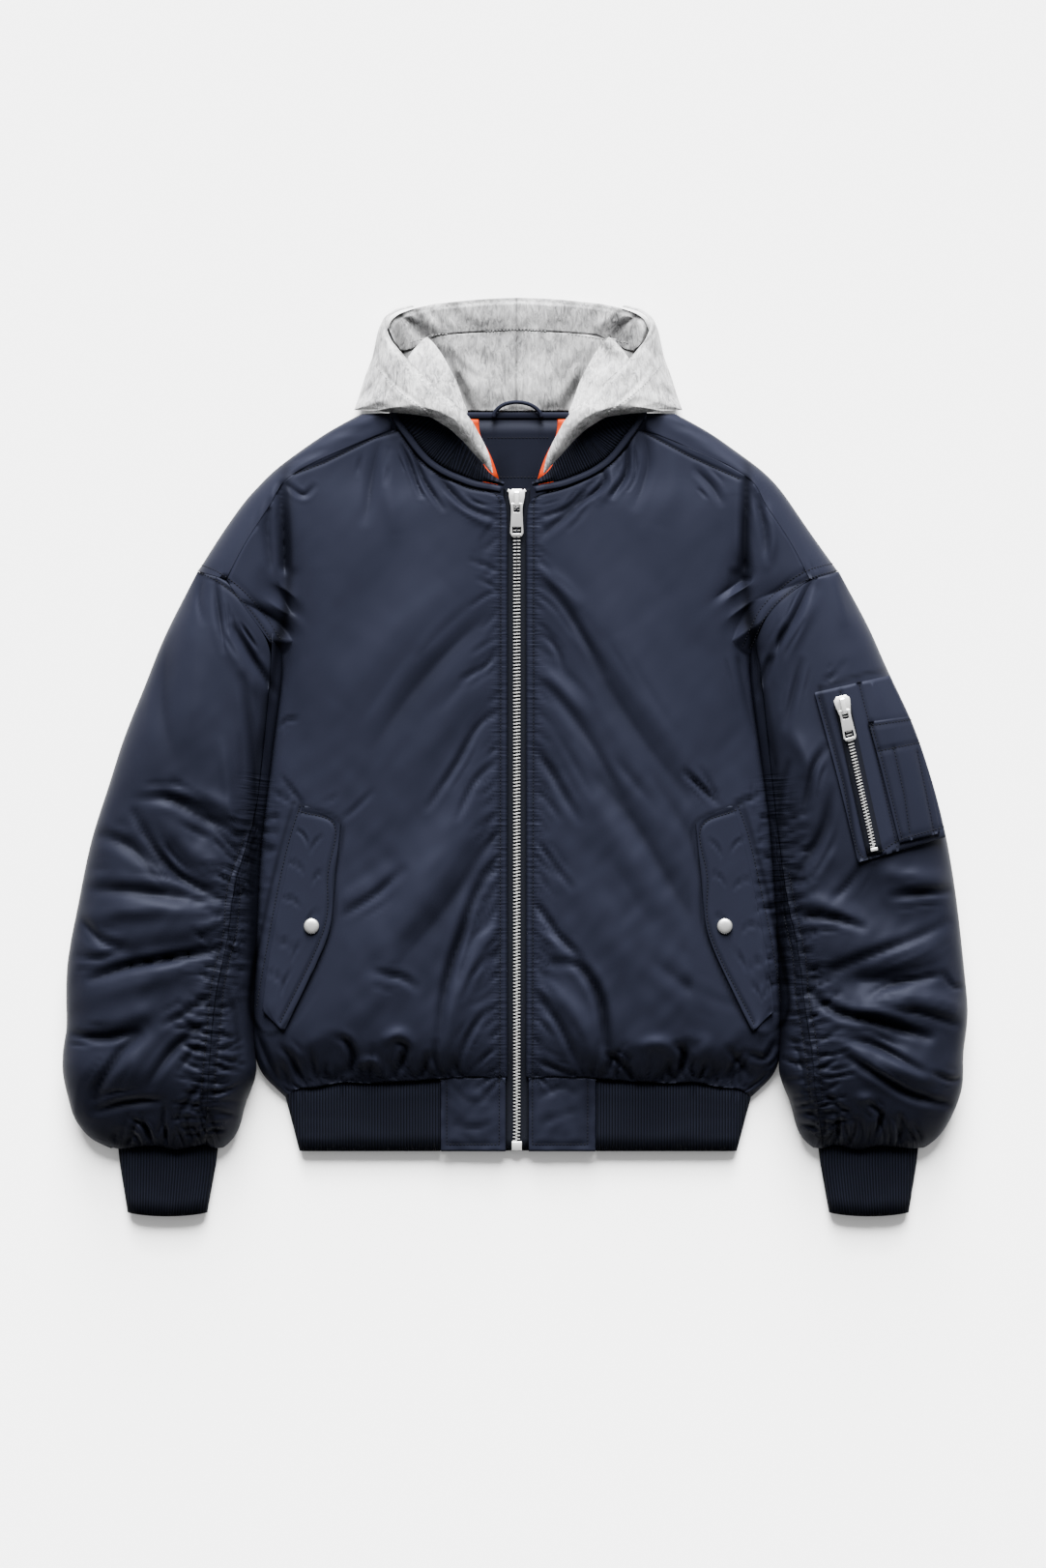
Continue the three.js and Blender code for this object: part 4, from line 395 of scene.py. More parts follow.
def waves(xy, size, seed):
    """Soft uneven undulation between -1 and 1."""
    rng = np.random.default_rng(seed)
    total = np.zeros(len(xy))
    for _ in range(9):
        angle = rng.uniform(0, math.pi)
        pitch = size * rng.uniform(0.7, 1.7)
        way = np.array([math.cos(angle), math.sin(angle)]) * 2 * math.pi / pitch
        total += np.sin(xy @ way + rng.uniform(0, 6.28) + 1.2 * np.sin(xy @ way[::-1] * 0.37 + rng.uniform(0, 6.28)))
    return total / 4.2


def puckers():
    """Short creases that run out from the sewn lines, closer together where the cloth is gathered."""
    rng = np.random.default_rng(7)
    # line, spacing, length, half width, depth, slant along the line, which sides, share of the line
    plan = [
        ("front_left", 15, (12, 36), 2.8, 1.5, 0.9, (-1,), (0.02, 1)),
        ("front_left", 11, (10, 34), 2.8, 2.2, 1.0, (-1,), (0.5, 1)),
        ("front_right", 15, (12, 36), 2.8, 1.5, 0.9, (1,), (0.02, 1)),
        ("front_right", 11, (10, 34), 2.8, 2.2, 1.0, (1,), (0.5, 1)),
        ("sleeve_left", 5.2, (10, 38), 2.6, 3.2, -0.1, (-1, 1), (0.1, 1)),
        ("sleeve_right", 5.2, (10, 38), 2.6, 3.2, -0.1, (-1, 1), (0.1, 1)),
        ("sleeve_left", 3.6, (5, 7), 1.5, 1.9, 0, (-1, 1), (0.14, 1)),
        ("sleeve_right", 3.6, (5, 7), 1.5, 1.9, 0, (-1, 1), (0.14, 1)),
        ("hem_left", 9, (12, 40), 3.4, 4.4, 0.1, (1,), (0, 0.75)),
        ("hem_right", 9, (12, 40), 3.4, 4.4, 0.1, (1,), (0.25, 1)),
        ("hem_left", 5, (5, 11), 1.9, 2.2, 0, (1,), (0, 0.8)),
        ("hem_right", 5, (5, 11), 1.9, 2.2, 0, (1,), (0.2, 1)),
        ("cuff_left", 6.5, (12, 36), 2.8, 4.2, 0, (1,), (0, 1)),
        ("cuff_right", 6.5, (12, 36), 2.8, 4.2, 0, (1,), (0, 1)),
    ]
    out = []
    for name, spacing, lengths, wide, depth, slant, sides, (first, last) in plan:
        line = curve_through(on_drawing("plain", SEAMS[name]))
        steps = np.linalg.norm(np.diff(line, axis=0), axis=1)
        run = np.concatenate([[0], np.cumsum(steps)])
        s = first * run[-1]
        while s < last * run[-1]:
            s += spacing * rng.uniform(0.4, 1.6)
            if s >= run[-1]:
                break
            i = min(np.searchsorted(run, s) - 1, len(steps) - 1)
            way = (line[i + 1] - line[i]) / steps[i]
            start = line[i] + way * (s - run[i])
            for side in sides:
                normal = np.array([-way[1], way[0]]) * side
                if way[1] < -0.5:
                    normal = np.array([way[1], -way[0]]) * -side if name.startswith("front") else normal
                lean = way * (slant + rng.uniform(-0.35, 0.35))
                length = rng.uniform(*lengths)
                head = normal + lean
                head /= np.linalg.norm(head)
                bend = way * rng.uniform(-0.12, 0.12) * length
                mid = start + head * length * 0.5 + bend
                out.append((np.array([start + normal * 0.5, mid, start + head * length]), wide * rng.uniform(0.8, 1.3),
                            -depth * rng.uniform(0.5, 1.25)))
    return out


# Where little light reaches the body and sleeves: points on the plain drawing, half width, what is taken away.
SHADE = [
    ([(294, 470), (298, 520), (300, 580), (297, 625), (289, 665), (277, 730), (268, 790), (263, 850)], 5, 0.62),
    ([(774, 470), (771, 520), (769, 580), (773, 625), (779, 665), (791, 730), (801, 790), (806, 850)], 5, 0.62),
    ([(306, 628), (298, 645), (286, 668)], 9, 0.5), ([(766, 628), (773, 645), (784, 668)], 9, 0.5),
    ([(263, 850), (262, 940), (264, 1040), (266, 1090)], 6, 0.5), ([(806, 850), (809, 940), (809, 1040), (806, 1090)], 6, 0.5),
    ([(304, 832), (290, 880), (276, 940), (259, 1043), (292, 1064), (342, 964), (347, 905), (353, 850), (306, 831)], 2.6, 0.55),
    ([(768, 832), (782, 880), (797, 940), (815, 1043), (778, 1064), (729, 964), (724, 905), (717, 852), (766, 831)], 2.6, 0.55),
    ([(846, 712), (872, 812), (889, 892), (930, 876), (980, 862)], 2.6, 0.5), ([(846, 712), (890, 698), (928, 692)], 2.2, 0.45),
    ([(518, 520), (517.5, 800), (517, 1115)], 2.2, 0.35), ([(552, 520), (551.5, 800), (551, 1115)], 2.2, 0.35),
    ([(526, 520), (525.5, 800), (525, 1115)], 1.8, 0.4), ([(544.5, 520), (544, 800), (543.5, 1115)], 1.8, 0.4),
    ([(300, 1136), (340, 1122), (400, 1120), (527, 1116)], 5, 0.5), ([(543, 1116), (650, 1120), (720, 1119), (776, 1136)], 5, 0.5),
    ([(112, 1172), (140, 1186), (190, 1186), (230, 1172)], 6, 0.5), ([(836, 1174), (880, 1186), (930, 1186), (960, 1172)], 6, 0.5),
    ([(261, 863), (239.4, 963.5), (226.5, 1021), (218, 1107), (215, 1172)], 9, 0.3),
    ([(809, 903), (826, 992), (836, 1072.5), (849, 1172)], 9, 0.3),
    ([(409.4, 447), (386.9, 454), (336.4, 479), (305, 491)], 2.2, 0.35), ([(663.8, 446.4), (713.8, 473), (764, 496)], 2.2, 0.35),
    ([(204.5, 592), (224, 600.6), (246.6, 617.4), (266.3, 639.9), (283, 665)], 2.4, 0.4),
    ([(866.9, 590), (837, 599), (816.9, 611.6), (791.9, 636.6), (776, 671)], 2.4, 0.4),
]


# Painted shade on the back facing and the other neck pieces: points on the plain drawing, half width, what is taken
# away.
FACING_SHADE = [([(490, 436), (534, 434), (580, 436)], 7, 0.4), ([(500, 452), (570, 452)], 1.8, 0.35),
                ([(505, 493), (565, 493)], 1.8, 0.35), ([(494, 436), (504, 462), (518, 500)], 6, 0.4),
                ([(577, 436), (568, 462), (556, 500)], 6, 0.4), ([(514, 470), (515, 490)], 8, 0.2)]


def shaded(xy, lines, quarter):
    """How much of its colour cloth shows along shaded lines of a quarter's drawing."""
    tone = np.ones(len(xy))
    for points, wide, taken in lines:
        line = curve_through(on_drawing(quarter, points))
        reach = wide / QUARTERS[quarter][1] * UNIT
        near = np.where(np.all((xy > line.min(0) - 3 * reach) & (xy < line.max(0) + 3 * reach), axis=1))[0]
        if len(near):
            d, _, share = along_line(xy[near], line)
            tone[near] -= taken * np.exp(-((d / reach) ** 2)) * np.sin(np.pi * (0.14 + 0.72 * share)) ** 0.5
    return tone


def sewn_lines():
    """Every sewn line of the cloth in jacket millimetres, second rows included."""
    lines = []
    for points, second in SEWN:
        line = curve_through(on_drawing("plain", points), 5) if len(points) > 4 else on_drawing("plain", points)
        lines.append(line)
        if second:
            way = np.gradient(line, axis=0)
            way /= np.linalg.norm(way, axis=1)[:, None]
            lines.append(line + np.column_stack([way[:, 1], -way[:, 0]]) * second * UNIT)
    return lines


def relief(xy):
    """Height that folds, puckers and sewn lines add to the jacket's upper face, in mm."""
    big = np.zeros(len(xy))
    small = np.zeros(len(xy))
    rng = np.random.default_rng(19)
    for quarter, folds in FOLDS.items():
        zoom = QUARTERS[quarter][1]
        for points, wide, high in folds:
            line = curve_through(on_drawing(quarter, points))
            broad = wide / zoom * UNIT
            if abs(high) < 1:
                add_fold(small, xy, line, broad, 1.7 * high)
                continue
            add_fold(big, xy, line, broad, high)
            if -7.5 < high < -2.4:
                for beside in side_creases(line, broad, high, rng):
                    add_fold(big, xy, *beside)
    settings = bpy.context.scene.jacket
    big *= settings.fold_strength
    low = np.clip((60 - xy[:, 1]) / 160, 0, 1)
    big += 0.6 * waves(xy, 80, 3) + (0.1 + 0.35 * low) * waves(xy, 24, 11)
    for line, wide, high in puckers():
        add_fold(big, xy, curve_through(line, 4), wide, high * settings.pucker_strength)
    for (px, py), (half_x, half_y), left in CALM:
        middle = on_drawing("plain", [(px, py)])[0]
        reach = np.maximum(np.abs(xy[:, 0] - middle[0]) / (half_x * UNIT), np.abs(xy[:, 1] - middle[1]) / (half_y * UNIT))
        share = np.clip((1.25 - reach) / 0.25, 0, 1)
        big *= 1 - (1 - left) * share * share * (3 - 2 * share)
    band = np.clip((np.abs(xy[:, 0] - ZIP_X) - 13) / 7, 0, 1)
    big *= np.where(xy[:, 1] < 255, band, 1)
    for line in sewn_lines():
        near = np.where(np.all((xy > line.min(0) - 8) & (xy < line.max(0) + 8), axis=1))[0]
        if len(near):
            d, _, _ = along_line(xy[near], line)
            small[near] -= 0.95 * np.exp(-((d / 2.0) ** 2))
    return big + small


# ---------------------------------------------------------------- meshes


def frame_mesh(name):
    """A frame node's mesh in metres, its points joined and its flat pairs of triangles made quads."""
    bm = bmesh.new()
    bm.from_mesh(FRAME["nodes"][name].data)
    bmesh.ops.remove_doubles(bm, verts=bm.verts, dist=2e-5)
    bmesh.ops.join_triangles(bm, faces=bm.faces, angle_face_threshold=math.radians(50),
                             angle_shape_threshold=math.radians(120))
    return bm


def rounded(name, levels, sharp=50, shown=None, longest=0.0):
    """A frame node rounded by subdivision, with its rims kept sharp. Edges above the longest are halved first."""
    bm = frame_mesh(name)
    for _ in range(4 if longest else 0):
        long = [edge for edge in bm.edges if edge.calc_length() > longest]
        if long:
            bmesh.ops.subdivide_edges(bm, edges=long, cuts=1, use_grid_fill=True)
            bmesh.ops.triangulate(bm, faces=[face for face in bm.faces if len(face.verts) > 4])
    crease = bm.edges.layers.float.new("crease_edge")
    for edge in bm.edges:
        if len(edge.link_faces) == 2 and edge.calc_face_angle(0) > math.radians(sharp):
            edge[crease] = 1.0
    mesh = bpy.data.meshes.new(shown or name + "_shape")
    bm.to_mesh(mesh)
    bm.free()
    shape = bpy.data.objects.new(shown or name + "_shape", mesh)
    bpy.context.scene.collection.objects.link(shape)
    smooth = shape.modifiers.new("round", "SUBSURF")
    smooth.levels = smooth.render_levels = levels
    smooth.boundary_smooth = "PRESERVE_CORNERS"
    done = bpy.data.meshes.new_from_object(shape.evaluated_get(bpy.context.evaluated_depsgraph_get()))
    shape.modifiers.clear()
    shape.data = done
    bpy.data.meshes.remove(mesh)
    done.name = shape.name
    return shape


def points_of(mesh):
    co = np.empty(len(mesh.vertices) * 3)
    mesh.vertices.foreach_get("co", co)
    return co.reshape(-1, 3)


def normals_of(mesh):
    n = np.empty(len(mesh.vertices) * 3)
    mesh.vertex_normals.foreach_get("vector", n)
    return n.reshape(-1, 3)


def move_points(mesh, co):
    mesh.vertices.foreach_set("co", co.ravel())
    mesh.update()


def lift_by_relief(obj, floor_from=6.0, floor_to=16.0):
    """Moves the upper part of a piece by the relief, fading towards the floor."""
    co = points_of(obj.data)
    up = np.abs(normals_of(obj.data)[:, 2])
    height = co[:, 2] / MM
    share = np.clip((height - floor_from) / (floor_to - floor_from), 0, 1)
    added = relief(co[:, :2] / MM)
    co[:, 2] += added * MM * share * np.clip(up * 1.25, 0, 1)
    under = (height < floor_from) & (height > -1)
    co[under, 2] += np.abs(waves(co[under, :2] / MM, 60, 21)) * 0.0006 * up[under]
    move_points(obj.data, co)
    return added


SIDE_EDGE_Y = [-330, -300, -270, -240, -180, -120, -60, 0, 60, 90]
SIDE_EDGE_X = [238, 241, 245.8, 246.2, 244, 242, 235.5, 229, 221.6, 219]


def close_side(obj, name):
    """Brings the body's side edge and the sleeve's inner edge together, as cloth that lies edge to edge."""
    co = points_of(obj.data)
    x, y = np.abs(co[:, 0]) / MM, co[:, 1] / MM
    edge = np.interp(y, SIDE_EDGE_Y, SIDE_EDGE_X)
    share = np.clip(1 - np.abs(x - edge) / 13, 0, 1) * np.clip((116 - y) / 12, 0, 1) * np.clip((y + 345) / 20, 0, 1)
    push = 2.4 if name in ("front_left", "front_right", "back") else -2.4
    co[:, 0] += np.sign(co[:, 0]) * push * share * MM
    if name.startswith("sleeve_lower"):
        up = np.clip((y - 66) / 22, 0, 1)
        co[:, 1] += 26 * up * up * MM
    move_points(obj.data, co)


ARMHOLE_LEFT = [(204.5, 592), (224, 600.6), (246.6, 617.4), (266.3, 639.9), (283, 665)]
ARMHOLE_RIGHT = [(866.9, 590), (837, 599), (816.9, 611.6), (791.9, 636.6), (776, 671)]


def tuck_armhole(obj, left):
    """Lowers a sleeve's head where it lies under the body, so that it doesn't come through."""
    co = points_of(obj.data)
    line = curve_through(on_drawing("plain", ARMHOLE_LEFT if left else ARMHOLE_RIGHT))
    d, side, share = along_line(co[:, :2] / MM, line)
    inner = 1 if left else -1
    under = np.clip((d * side * inner - 2.5) / 8, 0, 1) * (share > 0.01) * (co[:, 2] > 0.012)
    co[:, 2] -= 7 * MM * under
    move_points(obj.data, co)


CORNER_Y = [-378, -368, -358, -332, -307, -281, -255, -230]
CORNER_X = [4, 9, 13, 14, 10.5, 6, 3.5, 3]


def fill_corner(obj):
    """Fills out a sleeve's lower outer corner, where the padding hangs over the cuff."""
    co = points_of(obj.data)
    x, y = np.abs(co[:, 0]) / MM, co[:, 1] / MM
    push = np.interp(y, CORNER_Y, CORNER_X) * np.clip((x - 350) / 48, 0, 1) ** 1.5 * np.clip((-y - 180) / 50, 0, 1)
    co[:, 0] += np.sign(co[:, 0]) * push * MM
    move_points(obj.data, co)


def mark_seams(obj):
    """Stores run along the nearest sewn line, distance from it and a gather strength, for the material."""
    xy = points_of(obj.data)[:, :2] / MM
    best = np.full(len(xy), 1e9)
    out = np.zeros((len(xy), 3))
    reach = {"front": 7.0, "sleeve": 13.0, "hem": 9.0, "cuff": 9.0}
    for name, points in SEAMS.items():
        line = curve_through(on_drawing("plain", points))
        length = np.linalg.norm(np.diff(line, axis=0), axis=1).sum()
        d, side, share = along_line(xy, line)
        nearer = d < best
        best[nearer] = d[nearer]
        fade = np.exp(-((d / reach[name.split("_")[0]]) ** 2))
        out[nearer] = np.column_stack([share * length, side * d, fade])[nearer]
    layer = obj.data.attributes.new("seam", "FLOAT_VECTOR", "POINT")
    layer.data.foreach_set("vector", out.ravel())


def mark_painted_light(obj, tone=1.0):
    """Stores painted light: how much of its colour the cloth shows at each point, less where shade is painted into
    creases and other places that light hardly reaches.
    """
    layer = obj.data.attributes.new("tone", "FLOAT", "POINT")
    layer.data.foreach_set("value", np.broadcast_to(np.clip(tone, 0.12, 1.0), len(obj.data.vertices)).astype(float))


def mark_run(obj, name):
    """Stores the place around a ribbed piece, in mm, which its ribs are counted along."""
    xy = points_of(obj.data)[:, :2] / MM
    run = xy[:, 0].copy()
    if name.startswith("cuff"):
        middle = -361.0 if name.endswith("left") else 361.0
        run = (xy[:, 0] - middle) * (1 + np.clip((-385 - xy[:, 1]) / 60, 0, 1) * 0.12)
    elif name in ("collar_left", "collar_right"):
        line = curve_through(on_drawing("plain", NECK_LEFT if name.endswith("left") else NECK_RIGHT))
        steps = np.linalg.norm(np.diff(line, axis=0), axis=1).sum()
        run = along_line(xy, line)[2] * steps
    layer = obj.data.attributes.new("run", "FLOAT", "POINT")
    layer.data.foreach_set("value", run)


def dress(obj, material, smooth=True):
    obj.data.materials.clear()
    obj.data.materials.append(bpy.data.materials[material + LOOK])
    if "tone" not in obj.data.attributes:
        mark_painted_light(obj)
    obj.data.shade_smooth()
    if smooth:
        obj.data.set_sharp_from_angle(angle=math.radians(48))


def finish_piece(obj, nodes, body=ROOT):
    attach(obj, body)
    if nodes:
        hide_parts(*nodes)
    return obj


# ---------------------------------------------------------------- materials


def new_tree(name, outputs, inputs=()):
    tree = bpy.data.node_groups.new(name, "ShaderNodeTree")
    for label, kind, value in inputs:
        socket = tree.interface.new_socket(label, in_out="INPUT", socket_type=kind)
        socket.default_value = value
    for label, kind in outputs:
        tree.interface.new_socket(label, in_out="OUTPUT", socket_type=kind)
    return tree


class Wire:
    """Short way to add nodes to a tree and join them."""

    def __init__(self, tree):
        self.tree = tree

    def add(self, kind, inputs=None, **settings):
        node = self.tree.nodes.new(kind)
        for key, value in settings.items():
            setattr(node, key, value)
        for key, value in (inputs or {}).items():
            if isinstance(value, bpy.types.NodeSocket):
                self.tree.links.new(value, node.inputs[key])
            else:
                node.inputs[key].default_value = value
        return node

    def math(self, operation, a, b=0.0, c=None):
        values = {0: a, 1: b}
        if c is not None:
            values[2] = c
        return self.add("ShaderNodeMath", values, operation=operation).outputs[0]


def gather_group():
    """Fine gathers along sewn lines: a height between 0 and 1 from the seam attribute."""
    tree = new_tree("gathers", [("Height", "NodeSocketFloat")],
                    [("Pitch", "NodeSocketFloat", 3.4), ("Length", "NodeSocketFloat", 26.0)])
    w = Wire(tree)
    ins = w.add("NodeGroupInput")
    seam = w.add("ShaderNodeAttribute", attribute_name="seam")
    parts = w.add("ShaderNodeSeparateXYZ", {0: seam.outputs["Vector"]})
    across = w.math("DIVIDE", parts.outputs[1], ins.outputs["Length"])
    spot = w.add("ShaderNodeCombineXYZ", {0: w.math("DIVIDE", parts.outputs[0], ins.outputs["Pitch"]), 1: across})
    noise = w.add("ShaderNodeTexNoise", {"Vector": spot.outputs[0], "Scale": 1.0, "Detail": 1.0, "Distortion": 0.4})
    height = w.math("MULTIPLY", noise.outputs["Fac"], parts.outputs[2])
    out = w.add("NodeGroupOutput")
    tree.links.new(height, out.inputs[0])
    return tree


def weave_group():
    """Grain of woven or knitted cloth: a value between 0 and 1 from two stretched noises."""
    tree = new_tree("cloth_grain", [("Value", "NodeSocketFloat")],
                    [("Scale", "NodeSocketFloat", 900.0), ("Stretch", "NodeSocketFloat", 0.25)])
    w = Wire(tree)
    ins = w.add("NodeGroupInput")
    place = w.add("ShaderNodeTexCoord").outputs["Object"]
    parts = w.add("ShaderNodeSeparateXYZ", {0: place})
    short = w.math("MULTIPLY", parts.outputs[0], ins.outputs["Stretch"])
    a = w.add("ShaderNodeCombineXYZ", {0: short, 1: parts.outputs[1], 2: parts.outputs[2]})
    tall = w.math("MULTIPLY", parts.outputs[1], ins.outputs["Stretch"])
    b = w.add("ShaderNodeCombineXYZ", {0: parts.outputs[0], 1: tall, 2: parts.outputs[2]})
    noises = [w.add("ShaderNodeTexNoise", {"Vector": v.outputs[0], "Scale": ins.outputs["Scale"], "Detail": 2.0})
              for v in (a, b)]
    mean = w.math("MULTIPLY", w.math("ADD", noises[0].outputs["Fac"], noises[1].outputs["Fac"]), 0.5)
    out = w.add("NodeGroupOutput")
    tree.links.new(mean, out.inputs[0])
    return tree


def mottle_group():
    """Marl of a brushed jersey: light and dark fibres, as a mask between 0 and 1."""
    tree = new_tree("marl", [("Mask", "NodeSocketFloat")], [("Scale", "NodeSocketFloat", 260.0)])
    w = Wire(tree)
    ins = w.add("NodeGroupInput")
    place = w.add("ShaderNodeTexCoord").outputs["Object"]
    turned = w.add("ShaderNodeMapping", {"Vector": place, "Rotation": (0, 0, 0.5), "Scale": (1.0, 0.3, 1.0)})
    fibres = w.add("ShaderNodeTexNoise", {"Vector": turned.outputs[0], "Scale": ins.outputs["Scale"], "Detail": 4.0,
                                          "Roughness": 0.7, "Distortion": 1.2})
    clouds = w.add("ShaderNodeTexNoise", {"Vector": place, "Scale": 38.0, "Detail": 3.0})
    mixed = w.math("MULTIPLY_ADD", clouds.outputs["Fac"], 0.45, w.math("MULTIPLY", fibres.outputs["Fac"], 0.75))
    wide = w.add("ShaderNodeMapRange", {0: mixed, 1: 0.42, 2: 0.8})
    out = w.add("NodeGroupOutput")
    tree.links.new(wide.outputs[0], out.inputs[0])
    return tree


def new_material(name, color, rough, metal=0.0, **more):
    material = bpy.data.materials.new(name + LOOK)
    material.use_nodes = True
    shader = material.node_tree.nodes["Principled BSDF"]
    shader.inputs["Base Color"].default_value = (*color, 1)
    shader.inputs["Roughness"].default_value = rough
    shader.inputs["Metallic"].default_value = metal
    for key, value in more.items():
        shader.inputs[key.replace("_", " ").title().replace("Ior", "IOR")].default_value = value
    return Wire(material.node_tree), shader


def bump_into(w, shader, height, distance, strength=1.0, normal=None):
    bump = w.add("ShaderNodeBump", {"Height": height, "Distance": distance, "Strength": strength})
    if normal:
        w.tree.links.new(normal, bump.inputs["Normal"])
    w.tree.links.new(bump.outputs[0], shader.inputs["Normal"])
    return bump.outputs[0]


def tint(w, shader, value, dark, light):
    ramp = w.add("ShaderNodeMix", {0: value}, data_type="RGBA")
    ramp.inputs[6].default_value = (*dark, 1)
    ramp.inputs[7].default_value = (*light, 1)
    w.tree.links.new(ramp.outputs[2], shader.inputs["Base Color"])


class JacketSettings(bpy.types.PropertyGroup):
    """Sizes and strengths of the jacket's look."""

    levels: IntProperty(name="Subdivision", description="How finely the cloth pieces are divided", default=3)
    fold_strength: FloatProperty(name="Folds", description="Multiplies the height of the placed folds", default=1.0)
    pucker_strength: FloatProperty(name="Puckers", description="Multiplies the depth of the puckers", default=1.0)
    stitch_pitch: FloatProperty(name="Stitch pitch", description="From one stitch to the next", default=0.0032,
                                unit="LENGTH")
    stitch_size: FloatProperty(name="Stitch thickness", description="Thickness of the thread", default=0.0009,
                               unit="LENGTH")
    rib_pitch: FloatProperty(name="Rib pitch", description="From one rib of the knitted pieces to the next",
                             default=0.0027, unit="LENGTH")
    tooth_pitch: FloatProperty(name="Tooth pitch", description="From one zip tooth to the next on one side",
  default=0.0032, unit="LENGTH")


class StageSettings(bpy.types.PropertyGroup):
    """Floor, light and camera."""

    lens: FloatProperty(name="Lens", description="Focal length of the camera in mm", default=135.0)
    key_strength: FloatProperty(name="Key light", description="Strength of the soft light above the hood", default=24.0)
    key_height: FloatProperty(name="Key height", description="Angle of the key light above the floor",
                              default=math.radians(35), unit="ROTATION")
    key_size: FloatProperty(name="Key softness", description="Angle that the key light covers",
                            default=math.radians(40), unit="ROTATION")
    low_strength: FloatProperty(name="Low light", description="Strength of the low light that draws the long shadow",
                                default=13.5)
    low_height: FloatProperty(name="Low height", description="Angle of the low light above the floor",
                              default=math.radians(15), unit="ROTATION")
    sky: FloatProperty(name="Sky", description="Brightness of the surroundings", default=0.55)
    glow: FloatProperty(name="Floor glow", description="Light that the lit floor gives off", default=0.1)


class JACKET_OT_materials(bpy.types.Operator):
    """Make the cloth and metal materials"""

    bl_idname = "jacket.materials"
    bl_label = "Materials"

    def execute(self, context):
        gathers, grain, marl = gather_group(), weave_group(), mottle_group()
        for name, color, rough in (("navy_satin", (0.0056, 0.0062, 0.0107), 0.5),
                                   ("orange_lining", (0.46, 0.033, 0.0022), 0.5)):
            w, shader = new_material(name, color, rough, specular_ior_level=0.032)
            # Painted shade: the cloth's colour is darkened towards black by the attribute that holds the painted shade.
            tint(w, shader, w.add("ShaderNodeAttribute", attribute_name="tone").outputs["Fac"], (0, 0, 0), color)
            shader.inputs["Specular Tint"].default_value = (0.7, 0.76, 1, 1) if name == "navy_satin" else (1, 0.7, 0.5, 1)
            fine = w.add("ShaderNodeGroup", node_tree=grain)
            puck = w.add("ShaderNodeGroup", node_tree=gathers)
            soft = bump_into(w, shader, fine.outputs[0], 0.00008, 0.5)
            bump_into(w, shader, puck.outputs[0], 0.0014, 0.9, soft)
        w, shader = new_material("navy_rib", (0.002, 0.003, 0.005), 0.95, specular_ior_level=0.05)
        fine = w.add("ShaderNodeGroup", {"Scale": 1400.0, "Stretch": 0.4}, node_tree=grain)
        run = w.add("ShaderNodeAttribute", attribute_name="run").outputs["Fac"]
        turn = w.math("MULTIPLY", run, 2 * math.pi / context.scene.jacket.rib_pitch * MM)
        rib_height_and_shade = w.math("MULTIPLY_ADD", w.math("COSINE", turn), 0.5, 0.5)
        height = w.math("MULTIPLY_ADD", fine.outputs[0], 0.3, rib_height_and_shade)
        # Painted shade: the rib colour is darkest in the grooves between the ribs, where light falls least.
        tint(w, shader, rib_height_and_shade, (0.0004, 0.0006, 0.0013), (0.0034, 0.0041, 0.0080))
        bump_into(w, shader, height, 0.0007, 0.9)
        w, shader = new_material("grey_marl_jersey", (0.3, 0.3, 0.3), 1.0, specular_ior_level=0.1)
        fibres = w.add("ShaderNodeGroup", node_tree=marl)
        tint(w, shader, fibres.outputs[0], (0.08, 0.08, 0.082), (0.48, 0.48, 0.483))
        # Painted shade: the marl colour is darkened towards black by the attribute that holds the painted shade.
        painted_shade_mix = w.add("ShaderNodeMix", {0: w.add("ShaderNodeAttribute", attribute_name="tone").outputs["Fac"]},
                     data_type="RGBA")
        painted_shade_mix.inputs[6].default_value = (0, 0, 0, 1)
        w.tree.links.new(shader.inputs["Base Color"].links[0].from_socket, painted_shade_mix.inputs[7])
        w.tree.links.new(painted_shade_mix.outputs[2], shader.inputs["Base Color"])
        bump_into(w, shader, fibres.outputs[0], 0.0008, 0.6)
        w, shader = new_material("zip_tape", (0.0018, 0.0022, 0.004), 0.85, specular_ior_level=0.06)
        fine = w.add("ShaderNodeGroup", {"Scale": 1600.0, "Stretch": 0.2}, node_tree=grain)
        bump_into(w, shader, fine.outputs[0], 0.0003, 0.6)
        new_material("zip_metal", (0.78, 0.78, 0.77), 0.4, 1.0)
        new_material("snap_metal", (0.42, 0.42, 0.415), 0.45, 1.0)
        new_material("thread", (0.0012, 0.0014, 0.0026), 0.7, specular_ior_level=0.08)
        return {"FINISHED"}


# Cloth pieces of the body and sleeves: flat cut in metres, and what they rest on.
PANELS = {
    "front_left": ((0.28, 0.64), 0.15), "front_right": ((0.28, 0.64), 0.15), "back": ((0.64, 0.66), 0.35),
    "sleeve_upper_left": ((0.30, 0.56), 0.145), "sleeve_upper_right": ((0.30, 0.56), 0.145),
    "sleeve_lower_left": ((0.13, 0.46), 0.052), "sleeve_lower_right": ((0.13, 0.46), 0.052),
}


class JACKET_OT_panels(bpy.types.Operator):
    """Make the fronts, the back and the sleeves"""

    bl_idname = "jacket.panels"
    bl_label = "Body and sleeves"

    def execute(self, context):
        levels = context.scene.jacket.levels
        for name, (cut, area) in PANELS.items():
            piece = rounded(name, levels - 1 if name == "back" else levels, shown=name + "_cloth")
            close_side(piece, name)
            added = lift_by_relief(piece)
            mark_seams(piece)
            co = points_of(piece.data) / MM
            # Painted shade: darker in the troughs of the folds and along the SHADE lines, and the sleeves darker
            # towards the cuffs.
            tone = (1 - 0.66 * np.clip(-added / 6.5, 0, 1)) * shaded(co[:, :2], SHADE, "plain")
            if name.startswith("sleeve"):
                tone *= 1 - 0.26 * np.clip((150 - co[:, 1]) / 220, 0, 1)
            if name.startswith("sleeve_upper"):
                tuck_armhole(piece, name.endswith("left"))
            if name.startswith("sleeve") and name.endswith("left"):
                fill_corner(piece)
            mark_painted_light(piece, tone)
            dress(piece, "navy_satin")
            finish_piece(piece, [name])
        return {"FINISHED"}


